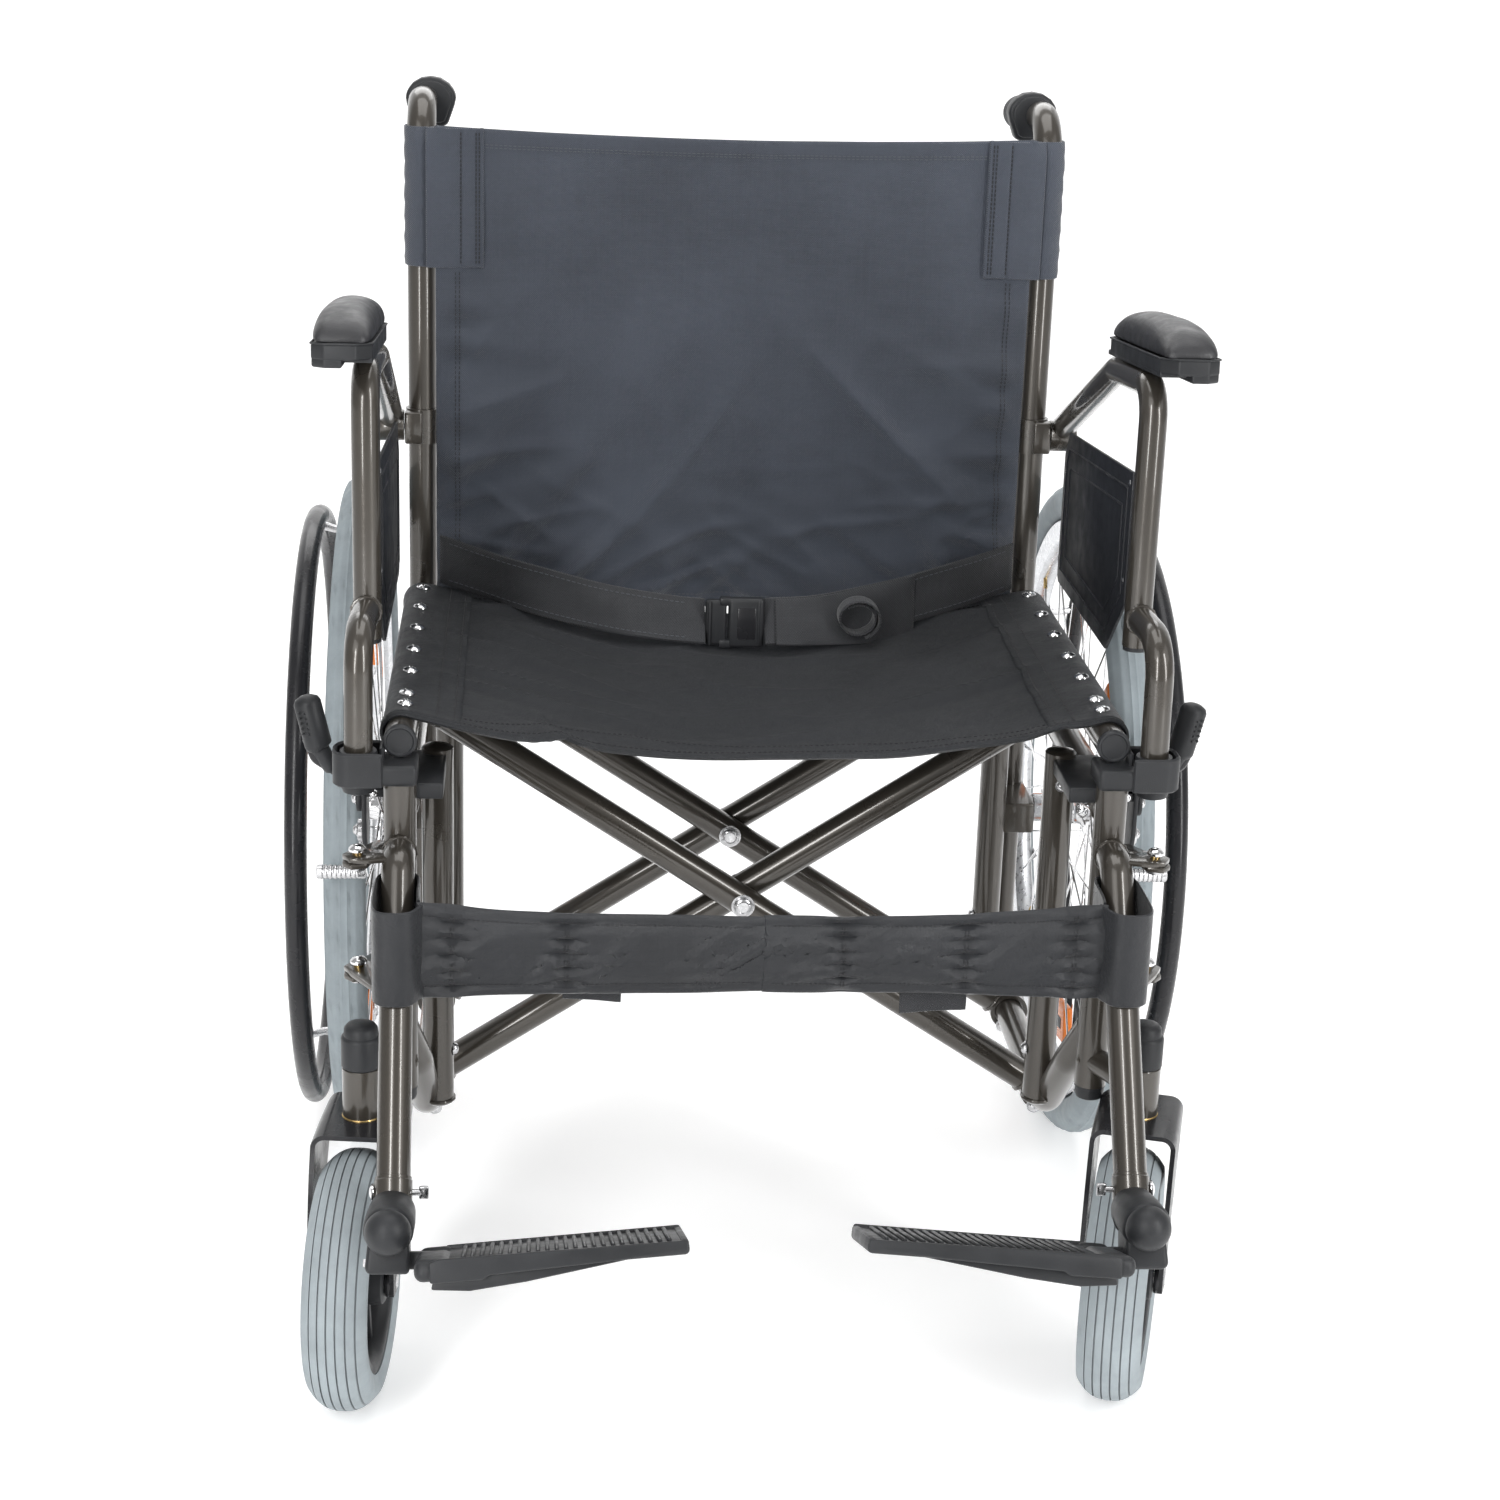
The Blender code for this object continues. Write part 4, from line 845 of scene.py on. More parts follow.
# ---------------------------------------------------------------- rear wheels
def tyre(side):
    piece = Piece("tyre", side)
    ring_r, section_r, n = 0.2875, 0.0175, 220
    grooves = ((12, 20, 0.0012), (-1, 3.2, 0.001), (44, 50, 0.0008))  # degrees from, to; depth
    profile = []
    for i in range(33):
        a = -150 + 300 * i / 32
        r = section_r - sum(depth for lo, hi, depth in grooves if lo < abs(a) < hi)
        a = math.radians(a)
        profile.append((ring_r + r * math.cos(a), r * math.sin(a)))

    def tread(a, r, d):
        notch = int(a / (2 * math.pi) * n) % 4 == 0 and 0.0052 < abs(d) < 0.0128
        return -0.0013 if notch and r > 0.29 else 0

    piece.lathe(profile, WHEEL_CENTRE, ACROSS, TYRE, n, True, tread)
    piece.fit("wheel", "tyre")


def rim(side):
    piece = Piece("rim", side)
    piece.lathe(mirrored([(0.25, -0.004), (0.253, -0.0085), (0.264, -0.0113), (0.27, -0.0118),
                          (0.2712, -0.0106), (0.27, -0.0098), (0.266, -0.009),
                          (0.263, -0.004)]), WHEEL_CENTRE, ACROSS, ALLOY, 128, True)
    out = Vector((0, math.sin(0.3), math.cos(0.3)))
    valve = [(0, 0), (0.003, 0), (0.003, 0.018), (0.0024, 0.02), (0.0024, 0.026), (0, 0.0265)]
    piece.lathe(valve, WHEEL_CENTRE + out * 0.2505, -out, BLACK, 16)
    piece.fit("wheel", "rim")


def wheel_hub(side):
    """Flanged hub with its spokes and their nipples."""
    hub = Piece("wheel_hub", side)
    flange = [(0.018, -0.0205), (0.0262, -0.0196), (0.027, -0.0186), (0.027, -0.0164),
              (0.0262, -0.0154), (0.019, -0.014), (0.0158, -0.01)]
    hub.lathe([(0.0066, -0.036), (0.012, -0.036), (0.0132, -0.035), (0.0136, -0.0225)]
              + flange + [(0.0152, 0)] + [(r, -d) for r, d in flange[::-1]]
              + [(0.0136, 0.0225), (0.0132, 0.0245), (0.012, 0.025), (0.0066, 0.025)],
              WHEEL_CENTRE, ACROSS, CHROME, 56, True)
    spokes = 36
    for i in range(spokes):
        end = 1 if i % 2 else -1
        lead = 1 if (i // 2) % 2 else -1
        rim_angle = 2 * math.pi * (i + 0.5) / spokes
        hub_angle = rim_angle + lead * math.radians(58)
        p0 = (WHEEL_CENTRE + radial(hub_angle)[0] * 0.0235
              + ACROSS * (end * (0.0175 + 0.0014 * lead)))
        p1 = WHEEL_CENTRE + radial(rim_angle)[0] * 0.2515 + ACROSS * (end * 0.003)
        hub.tube([p0, p1], 0.001, CHROME, 8)
        along = (p1 - p0).normalized()
        hub.tube([p1 - along * 0.012, p1], 0.0019, BRASS if i % 9 == 4 else STEEL, 8)
    hub.fit("wheel", "wheel_hub")


def reflectors(side):
    piece = Piece("reflectors", side)
    start = {"l": 0.62, "r": 0.35}[side]
    for i in range(3):
        u, turn = radial(2 * math.pi * i / 3 + start)
        centre = WHEEL_CENTRE + u * 0.205
        for half, mat, bevel, seg in ((Vector((0.0045, 0.018, 0.034)), ORANGE, 0.003, 3),
                                      (Vector((0.0055, 0.006, 0.022)), BLACK, 0.002, 2)):
            piece.box(centre - half, centre + half, mat, bevel, seg, turn)
    piece.fit("wheel", slot="handrim")


def handrim(side):
    piece = Piece("handrim", side)
    section = [(0.266 + 0.0095 * math.cos(a), 0.042 + 0.0095 * math.sin(a))
               for a in (2 * math.pi * i / 20 for i in range(20))]
    piece.lathe(section, WHEEL_CENTRE, ACROSS, GLOSS, 128, True)
    for i in range(6):
        u = radial(2 * math.pi * (i + 0.5) / 6)[0]
        post = [WHEEL_CENTRE + u * r + ACROSS * x
                for r, x in ((0.26, 0.0119), (0.2605, 0.024), (0.264, 0.036))]
        piece.tube(post, [0.004, 0.0034, 0.004], STEEL, 14)
        piece.bolt(post[0], ACROSS, 0.0052, 0.003, STEEL, "hex")
    piece.fit("wheel", "handrim")


def axle(side):
    piece = Piece("axle", side)
    root = (0.2918, 0, WHEEL_CENTRE.z)
    piece.lathe([(0, 0), (0.006, 0), (0.006, 0.0635), (0.0125, 0.0636), (0.0128, 0.065),
                 (0.011, 0.066), (0, 0.066)], root, ACROSS, STEEL, 32)
    piece.lathe([(0, 0.066), (0.0105, 0.066), (0.0105, 0.071), (0.0088, 0.0735),
                 (0.005, 0.0745), (0, 0.0745)], root, ACROSS, BLACK, 6)
    piece.fit("frame", "axle")


# ---------------------------------------------------------------- casters
# Caster pieces are drawn about the stem at x = y = 0 and turned into place, not mirrored.
CASTER_CENTRE = Vector((0, -CASTER_TRAIL, CASTER_AXLE_Z))


def caster_piece(name, side):
    turn = Matrix.Rotation(math.radians(CASTER_TURN[side]), 4, "Z")
    place = Matrix.Translation((SIGN[side] * CASTER_X, CASTER_Y, 0)) @ turn
    return Piece(name, side, mirror=False, transform=place)


def fork_strap(fork):
    """One bent strap: a crown rolling over into two tapering cheeks."""
    cheek_x, bend_r, thickness, seg = 0.0297, 0.0072, 0.0038, 8
    shoulder = [(0.0225 + bend_r * math.sin(a), 0.204 + bend_r * math.cos(a))
                for a in (math.radians(90 * i / 8) for i in range(9))]
    half = (shoulder + [(cheek_x, 0.184 - 0.0185 * k) for k in range(5)]
            + [(cheek_x, 0.092)])
    path = [Vector((-x, z)) for x, z in half[::-1]] + [Vector(p) for p in half]
    verts, faces = [], []
    for i, p in enumerate(path):
        t = (path[min(i + 1, len(path) - 1)] - path[max(i - 1, 0)]).normalized()
        normal = Vector((-t.y, t.x))
        k = max(0.0, min(1.0, (0.2045 - p.y) / 0.1045))
        centre_y = -CASTER_TRAIL * k ** 0.85
        half_width = 0.027 * (1 - k) ** 0.8 + 0.0125
        for offset in (0.0, thickness):
            for j in range(seg + 1):
                a = -1 + 2 * j / seg
                q = p + normal * (offset + 0.0006 * (1 - a ** 2))
                verts.append((q.x, centre_y + half_width * a, q.y))
    w = seg + 1
    for i in range(len(path) - 1):
        a, b = i * 2 * w, (i + 1) * 2 * w
        for j in range(seg):
            faces.append((a + j, a + j + 1, b + j + 1, b + j))
            faces.append((a + w + j, b + w + j, b + w + j + 1, a + w + j + 1))
        faces.append((a, b, b + w, a + w))
        faces.append((a + seg, a + w + seg, b + w + seg, b + seg))
    for a in (0, (len(path) - 1) * 2 * w):
        faces += [(a + j, a + j + 1, a + w + j + 1, a + w + j) for j in range(seg)]
    fork.add(verts, faces, GLOSS)


def caster_fork(side):
    fork = caster_piece("caster_fork", side)
    fork.rod((0, 0, 0.2), (0, 0, 0.2535), 0.0073, STEEL, 24)
    fork.lathe([(0.007, 0.2112), (0.015, 0.2112), (0.016, 0.2118), (0.015, 0.2126),
                (0.007, 0.2126)], (0, 0, 0), UP, STEEL, 32, True)
    fork_strap(fork)
    for way in (-1, 1):
        axis = ACROSS * way
        fork.lathe([(0, 0), (0.0125, 0), (0.0132, 0.001), (0.0132, 0.0034), (0.0125, 0.0044),
                    (0, 0.0044)], CASTER_CENTRE + axis * 0.0262, axis, GLOSS, 32)
        fork.bolt(CASTER_CENTRE + axis * 0.03, axis, 0.0072, 0.0048, STEEL, "hex")
    fork.rod(CASTER_CENTRE - ACROSS * 0.03, CASTER_CENTRE + ACROSS * 0.03, 0.0055, STEEL)
    fork.fit("caster_swivel", "caster_fork")


def caster_tyre(side):
    """Crowned tread with six fine grooves."""
    piece = caster_piece("caster_tyre", side)
    wall = [(0.0718, -0.0222), (0.077, -0.0236), (0.082, -0.0246), (0.0865, -0.0245)]
    cuts = (-0.0172, -0.0103, -0.0034, 0.0034, 0.0103, 0.0172)
    tread = []
    x = -0.0235
    # Stepped by adding, as some steps fall right on a groove's limit.
    while x <= 0.02351:
        crown = 0.1 - 0.0135 * (abs(x) / 0.0245) ** 2.6
        near = min(abs(x - cut) for cut in cuts)
        tread.append((crown - (0.0016 if near < 0.0004 else 0.0), x))
        x += 0.00045
    profile = wall + tread + [(r, -d) for r, d in wall[::-1]]
    piece.lathe(profile, CASTER_CENTRE, ACROSS, CASTER, 120, True)
    piece.fit("caster_wheel", "caster_tyre")


def caster_hub(side):
    """Boss, rim and web, stiffened by eight radial ribs."""
    hub = caster_piece("caster_hub", side)
    for half, n in (
            ([(0.0059, -0.0255), (0.0165, -0.0255), (0.0185, -0.024), (0.0195, -0.016)], 40),
            ([(0.06, -0.012), (0.0632, -0.019), (0.066, -0.0212), (0.0714, -0.0214),
              (0.0716, -0.02)], 72),
            ([(0.019, -0.0035), (0.061, -0.0035)], 72)):
        hub.lathe(mirrored(half), CASTER_CENTRE, ACROSS, BLACK, n, True)
    rib = Vector((0.012, 0.0225, 0.0028))
    for i in range(8):
        u, turn = radial(2 * math.pi * (i + 0.3) / 8)
        centre = CASTER_CENTRE + u * 0.04
        hub.box(centre - rib, centre + rib, BLACK, 0.0014, 2, turn)
    hub.fit("caster_wheel", "caster_hub")


# ---------------------------------------------------------------- armrests
def armrest_tube(side):
    piece = Piece("armrest_tube", side)
    leg_y, leg_z = -0.34, 0.586
    for points, radii in (
            ([(ARM_X, leg_y, 0.562), (ARM_X, leg_y, 0.771), (ARM_X, -0.196, 0.7584),
              (ARM_X, 0.0262, 0.6635)], [0.026, 0.03]),
            ([(ARM_X, -0.344, leg_z), (0.3075, -0.4185, leg_z), (SOCKET_X, FRONT_Y, 0.487)],
             [0.03])):
        piece.tube(fillet(points, radii), ARM_R, PAINT, 30, dome=0.001)
    piece.weld((ARM_X + 0.0003, -0.3515, leg_z), REARWARD, ARM_R)
    piece.lathe([(0.0045, 0), (0.0134, 0), (0.014, 0.0008), (0.014, 0.0225), (0.0134, 0.0233),
                 (0.0045, 0.0233)], (0.2932, ARM_HINGE_Y, ARM_HINGE_Z), ACROSS, PAINT, 36, True)
    piece.lathe([(0, 0), (0.0085, 0), (0.0103, 0.001), (0.0103, 0.004), (0, 0.004)],
                (ARM_X, leg_y, 0.5625), DOWN, BLACK, 30)
    piece.fit("armrest", "armrest_tube")


def armrest_base(side):
    """Tray under the pad, with a deeper skirt along its outer side."""
    tray = Piece("armrest_base", side, transform=PAD_PLACE)
    x0, x1, y0, y1, top, skirt_x = 0.2957, 0.3413, -0.0648, 0.1478, 0.0262, 0.318
    plan = [(x0, y0 + 0.014), (x0 + 0.012, y0), (x1 - 0.01, y0), (x1, y0 + 0.01),
            (x1, y1 - 0.012), (x1 - 0.01, y1), (x0 + 0.01, y1), (x0, y1 - 0.012)]
    tray.prism(plan, "xy", 0.014, top, BLACK, 0.0018, 3)
    skirt = [(skirt_x, y0 + 0.001), (x1 - 0.01, y0 + 0.0004), (x1 - 0.0004, y0 + 0.01),
             (x1 - 0.0004, y1 - 0.012), (x1 - 0.01, y1 - 0.0004), (skirt_x, y1 - 0.001)]
    tray.prism(skirt, "xy", 0.0085, 0.016, BLACK, 0.0016, 3)
    tray.box((x0 + 0.0006, -0.052, 0.0118), (0.3175, y1 - 0.002, 0.016), BLACK, 0.0008)
    tray.tube([(x, y, top) for x, y in plan + plan[:1]], 0.0009, BLACK, 10)
    for y in (-0.03, 0.045, 0.12):
        tray.bolt((0.33, y, 0.0086), DOWN, 0.003, 0.0009, STEEL)
    tray.fit("armrest", "armrest_base")


def armrest_pad(side):
    """A domed pad: full in the middle, rolled down to the rim of its tray on all sides."""
    pad = Piece("armrest_pad", side, transform=PAD_PLACE)
    centre_x, half_width, y0, y1, base_z, height = 0.3186, 0.0222, -0.0625, 0.1455, 0.0262, 0.0262
    nu, nv = 46, 22
    rows = []
    for j in range(nu + 1):
        q = -1 + 2 * j / nu
        q = math.copysign(abs(q) ** 0.8, q)
        w = half_width * (0.74 + 0.26 * max(0.0, 1 - abs(q) ** 7) ** 0.5)
        up = max(0.0, 1 - abs(q) ** 3.4) ** 0.55
        y = (y0 + y1) / 2 + (y1 - y0) / 2 * q
        row = []
        for i in range(nv + 1):
            a = math.pi * i / nv
            x = math.copysign(abs(math.cos(a)) ** 0.8, math.cos(a))
            rise = (height - 0.001) * (0.1 + 0.9 * up) * abs(math.sin(a)) ** 0.74
            row.append((centre_x + w * x + 0.001 * x * up, y, base_z + 0.001 + rise
                        + 0.0006 * rumple(x, q * 3, 0, scale=1.6, seed=SIGN[side])))
        rows.append(row + [(centre_x - w * 0.5, y, base_z), (centre_x + w * 0.5, y, base_z)])
    pad.loft(rows, VINYL)
    pad.fit("armrest", "armrest_pad", sub=1, sharp=80)


def inset(outline, distance):
    """Moves a convex outline, listed anticlockwise, inward."""
    points = [Vector(p) for p in outline]
    out = []
    for i, b in enumerate(points):
        n1 = (b - points[i - 1]).normalized()
        n2 = (points[(i + 1) % len(points)] - b).normalized()
        inward = Vector((-n1.y, n1.x))
        bisector = (inward + Vector((-n2.y, n2.x))).normalized()
        out.append(b + bisector * distance / bisector.dot(inward))
    return out


def side_panel(side):
    """Flat guard under the armrest, with two raised lines round each face."""
    panel = Piece("side_panel", side)
    x0, x1 = 0.2949, 0.2981
    front = [(-0.3284, 0.7), (-0.3284, 0.592), (-0.268, 0.538)]
    rear = [(-0.045, 0.655), (-0.06, 0.6765)]
    panel.prism(front + [(-0.05, 0.538), (-0.045, 0.543)] + rear, "yz", x0, x1, PANEL, 0.0009)
    for distance, radius in ((0.014, 0.0011), (0.03, 0.0009)):
        ring = inset(front + [(-0.045, 0.538)] + rear, distance)
        for x in (x0, x1):
            panel.tube([(x, p.x, p.y) for p in ring + ring[:1]], radius, PANEL, 10)
    for y, z in ((-0.32, 0.69), (-0.32, 0.61), (-0.055, 0.64)):
        panel.bolt((x0, y, z), INWARD, 0.0022, 0.0006, CHROME)
    panel.fit("armrest", "side_panel")


# ---------------------------------------------------------------- legrests
def hanger(side):
    piece = Piece("hanger", side)
    piece.tube(fillet([(FRAME_X, -0.434, 0.417), (FRAME_X, -0.456, 0.4165), HANGER_FOOT],
                      [0.018]), TUBE_R, PAINT, 32, dome=0.0008)
    piece.prism([(0.277, -0.445), (0.277, -0.459), (0.303, -0.465), (0.3135, -0.463),
                 (0.3195, -0.452), (0.3135, -0.441), (0.303, -0.439)],
                "xy", 0.4184, 0.4222, PAINT, 0.0006)
    piece.prism([(0.2768, -0.508), (0.2768, -0.524), (0.3135, -0.465), (0.3195, -0.452),
                 (0.3135, -0.441), (0.303, -0.439), (0.297, -0.447)],
                "xy", 0.3266, 0.3303, PAINT, 0.0006)
    piece.weld((FRAME_X, -0.4352, 0.417), REARWARD, TUBE_R, 0.0014)
    piece.fit("legrest", "hanger")


def foot_post(side):
    """Clamp ring at the foot of the hanger, and the housing that runs forward from it."""
    post = Piece("foot_post", side)
    down = (HANGER_FOOT - Vector((0.2768, -0.464, 0.4))).normalized()
    ring_at = HANGER_FOOT + down * 0.0004
    post.lathe([(0.0105, 0), (0.0134, 0), (0.0142, 0.0008), (0.0142, 0.0188),
                (0.0134, 0.0196), (0.0105, 0.0196)], ring_at, down, PAINT, 40, True)
    post.lathe([(0.0126, -0.0022), (0.0136, -0.0018), (0.0136, 0.0004), (0.0126, 0.0006)],
               ring_at, down, PAINT, 40, True)
    post.tube([HANGER_FOOT + down * d for d in (0.0006, 0.0235, 0.025)], 0.0104, PAINT, 28)
    # wing bolt on the inside, domed nut on the outside
    bolt_at = HANGER_FOOT + down * 0.01
    post.rod(bolt_at + INWARD * 0.012, bolt_at + INWARD * 0.0205, 0.0024, STEEL)
    post.box(bolt_at + Vector((-0.0262, -0.0016, -0.0052)),
             bolt_at + Vector((-0.019, 0.0016, 0.0052)), STEEL, 0.0013, 3)
    post.lathe([(0, 0), (0.0062, 0), (0.0068, 0.0008), (0.0068, 0.002), (0.005, 0.0034),
                (0.0026, 0.0042), (0, 0.0044)], bolt_at + ACROSS * 0.0136, ACROSS, CHROME, 26)
    nose, heel = Vector((0.2765, -0.672, 0.212)), Vector((0.2755, -0.602, 0.199))
    length, nose_r = (heel - nose).length, 0.017
    dome = [(nose_r * math.sin(math.radians(k * 9)), nose_r * (1 - math.cos(math.radians(k * 9))))
            for k in range(11)]
    post.lathe(dome + [(0.0166, 0.0186), (0.0172, 0.0196), (0.0182, 0.0215),
                       (0.0182, length * 0.62), (0.0172, length - 0.006),
                       (0.015, length - 0.0015), (0.012, length), (0, length)],
               nose, heel - nose, BLACK, 44)
    post.tube([(0.2755, -0.6, 0.202), (0.2755, -0.608, 0.1985), (0.2758, -0.618, 0.199)],
              [0.0135, 0.0168, 0.0176], BLACK, 32, dome=0.004)
    post.fit("legrest", "foot_post")


def foot_lug(side):
    lug = Piece("foot_lug", side, transform=FOOT_PLACE)
    lug.prism([(0.0135, -0.0085), (0.0425, -0.0085), (0.0455, -0.005), (0.043, 0.02),
               (0.014, 0.02)], "xz", 0.012, 0.045, BLACK, 0.003, 3)
    lug.box((-0.007, 0.024, -0.0062), (0.019, 0.038, 0.0062), BLACK, 0.0022, 3)
    lug.rod((0, -0.009, 0), (0, 0.051, 0), 0.003, STEEL, 18)
    lug.bolt((0.044, 0.03, -0.002), ACROSS, 0.0034, 0.0034, STEEL, "hex")
    lug.fit("legrest", slot="foot_post")


def footplate(side):
    """Tread plate with rims, ribs across the tread and a tapering box section below."""
    plate = Piece("footplate", side, transform=FOOT_PLACE @ FOOTPLATE_RISE)
    x0, y1 = -0.1853, 0.0538
    y0 = -y1
    plate.box((x0, y0, -0.0042), (-0.012, y1, 0.0054), BLACK, 0.0034, 3)
    plate.prism([(x0 + 0.0006, -0.0012), (x0 + 0.0006, 0.0058), (-0.01, 0.0078),
                 (-0.003, 0.006), (-0.003, -0.0085), (-0.04, -0.009), (-0.044, -0.0062),
                 (x0 + 0.05, -0.004)], "xz", y0 - 0.0002, y0 + 0.0052, BLACK, 0.0014, 3)
    for start, end in ((y0 + 0.002, 0.023), (0.0388, y1)):     # hinge knuckles
        plate.box((-0.018, start, -0.0078), (0.0078, end, 0.0076), BLACK, 0.0064, 4)
    for i in range(23):
        x = x0 + 0.012 + 0.0066 * i
        plate.box((x, y0 + 0.0058, 0.0044), (x + 0.003, y1 - 0.006, 0.0077), BLACK, 0.0009, 1)
    plate.box((x0 + 0.001, y1 - 0.0055, -0.0042), (-0.012, y1 - 0.0004, 0.0078), BLACK, 0.0018)
    plate.box((x0 + 0.0002, y0 + 0.001, -0.003), (x0 + 0.006, y1 - 0.001, 0.0066), BLACK, 0.002)
    plate.prism([(-0.15, -0.004), (-0.006, -0.004), (-0.003, -0.014), (-0.03, -0.017),
                 (-0.07, -0.014)], "xz", y0 + 0.01, y1 - 0.012, BLACK, 0.0016)
    plate.fit("foot", "footplate")


# (x, y) of the calf strap's loop round the hanger
CALF_LOOP = [Vector(p) for p in (
    (0.2555, -0.509), (0.26, -0.52), (0.266, -0.53), (0.277, -0.5325), (0.288, -0.5295),
    (0.293, -0.518), (0.2938, -0.488), (0.293, -0.458), (0.288, -0.4475), (0.277, -0.4445),
    (0.2665, -0.4475), (0.2612, -0.458), (0.2608, -0.488), (0.2595, -0.504))]


def calf_loop(u, v):
    """A smooth (Catmull-Rom) curve through CALF_LOOP, raised over v."""
    last = len(CALF_LOOP) - 1
    i = min(int(u * last), last - 1)
    t = u * last - i
    p0, p1, p2, p3 = [CALF_LOOP[min(max(i + k, 0), last)] for k in (-1, 0, 1, 2)]
    q = 0.5 * ((2 * p1) + (p2 - p0) * t + (2 * p0 - 5 * p1 + 4 * p2 - p3) * t ** 2
               + (3 * p1 - p0 - 3 * p2 + p3) * t ** 3)
    return (q.x, q.y, 0.3312 + 0.0736 * v)


def calf_strap(side):
    """Half of the calf strap: a padded band that loops round the hanger."""
    s = SIGN[side]
    strap = Piece("calf_strap", side)
    x_in, x_out = 0.0002, 0.26
    seams = {"l": (0.149, 0.2345), "r": (0.06, 0.1535, 0.2366)}[side]
    tail_in, tail_out, tail_z = {"l": (0.108, 0.151, 0.3235), "r": (0.107, 0.157, 0.3145)}[side]

    def thick(u, v):
        x = x_in + (x_out - x_in) * u
        seam = min(abs(x - q) for q in seams)
        edge = min(v, 1 - v)
        puff = min(1.0, seam / 0.016) ** 0.6 * min(1.0, max(0.0, edge - 0.11) / 0.14) ** 0.6
        return 0.0026 + 0.0056 * puff + 0.0012 * math.exp(-((edge - 0.05) / 0.035) ** 2)

    def band(u, v):
        x = x_in + (x_out - x_in) * u
        y = CALF_Y - 0.0035 * math.sin(math.pi * x / 0.52)
        y += 0.0011 * rumple(x * 9, v * 2.5, s * 3.0, scale=2.2, seed=0)
        for q in seams:
            y += (0.0026 * math.sin(2 * math.pi * (5.5 * v + q * 3))
                  * math.exp(-((x - q) / 0.013) ** 2))
        y -= 0.0034 * crease(x, v * 0.06, 1.1 * s, 30, 9, 4.0 + s) * math.sin(math.pi * v)
        end = (x / 0.26) ** 2.2
        lo, hi = 0.3345 - 0.0035 * end, 0.394 + 0.011 * end
        return (x, y, lo + (hi - lo) * v + 0.0011 * math.sin(x * 31 + s) * (v - 0.5))

    def tail(u, v):
        return (tail_in + (tail_out - tail_in) * u, -0.5015 + 0.0015 * math.sin(u * 3.1),
                tail_z + 0.04 * v + 0.003 * (u - 0.5))

    def u_at(x):
        return (x - x_in) / (x_out - x_in)

    strap.sheet(band, 104, 30, thick, STRAP)
    strap.sheet(calf_loop, 70, 6, 0.0022, STRAP)
    for v in (0.115, 0.885):
        strap.stitch(band, (u_at(0.006), v), (u_at(0.256), v), 70, DARKTHREAD, 0.00005, thick)
    for q in seams:
        for u in (u_at(q - 0.0012), u_at(q + 0.0012)):
            strap.stitch(band, (u, 0.07), (u, 0.93), 18, DARKTHREAD, 0.00005, thick)
    # loose end behind the band, hanging a little lower
    strap.sheet(tail, 14, 8, 0.002, WEB)
    ob = strap.fit("legrest", "calf_strap")
    folds(ob)


# ---------------------------------------------------------------- cross brace
def brace(tag, side):
    """Seat rail on one side, with two bars down to the lower rail on the other."""
    s = SIGN[side]
    body = f"brace_{tag}"
    bars = Piece(f"cross_{tag}")
    foot, head = Vector((-s * BASE_X, 0, BASE_Z)), Vector((s * FRAME_X, 0, SEAT_Z))
    along = (head - foot).normalized()
    bars.tube([(s * FRAME_X, -0.41, SEAT_Z), (s * FRAME_X, 0.005, SEAT_Z)], TUBE_R, PAINT, 32)
    barrel = mirrored([(0.0132, -0.0125), (0.0166, -0.0125), (0.0172, -0.0118)])
    for y in BAR_YS[tag]:
        low, high = foot + REARWARD * y, head + REARWARD * y
        bars.tube([low + along * 0.015, high], TUBE_R * 0.998, PAINT, 32)
        bars.lathe(barrel, low, REARWARD, PAINT, 44, True)
        bars.weld(low + along * 0.0168, along, TUBE_R)
        bars.weld(high - along * (TUBE_R + 0.0005), along, TUBE_R)
    bars.bolt((s * FRAME_X, 0.0048, SEAT_Z), REARWARD, 0.0095, 0.004, BLACK)
    bars.ride(body, f"cross_{tag}")
    plug = Piece("rail_plug", side)
    plug.lathe([(0, -0.0004), (0.0122, -0.0004), (0.013, -0.0012), (0.013, -0.0046),
                (0.0122, -0.0058), (0.0108, -0.006), (0.0098, -0.0048), (0.004, -0.0044),
                (0, -0.0044)], (FRAME_X, -0.4104, SEAT_Z), REARWARD, BLACK, 44)
    plug.ride(body, f"rail_plug_{side}")


def pivots():
    """The bolts through the crossings of the bars."""
    for i, name in enumerate(("front", "rear")):
        bolt = Piece(f"pivot_{name}")
        y0, y1 = BAR_YS["b"][i] - TUBE_R, BAR_YS["a"][i] + TUBE_R
        bolt.rod((0, y0 - 0.001, CROSS_Z), (0, y1 + 0.001, CROSS_Z), 0.004, STEEL)
        bolt.lathe([(0, 0), (0.0098, 0), (0.0098, 0.001), (0.0082, 0.0012), (0.0082, 0.004),
                    (0.0072, 0.0052), (0.005, 0.0058), (0.0046, 0.0046), (0, 0.0046)],
                   (0, y0 - 0.0002, CROSS_Z), FORWARD, STEEL, 32)
        bolt.bolt((0, y1 + 0.0002, CROSS_Z), REARWARD, 0.0068, 0.0068, STEEL, "hex")
        bolt.ride("brace_a", f"pivot_bolt_{name}")


# ---------------------------------------------------------------- seat
SCREWS = (0.05, 0.12, 0.28, 0.44, 0.61, 0.78, 0.95)    # parts of the seat's depth
SEAT_Y0, SEAT_Y1 = -0.392, -0.003
SEAT_DEPTH = SEAT_Y1 - SEAT_Y0
RAIL_WRAP = [(FRAME_X + x, SEAT_Z + z) for x, z in arc((0, 0), 0.0146, -35, 96, 12)]


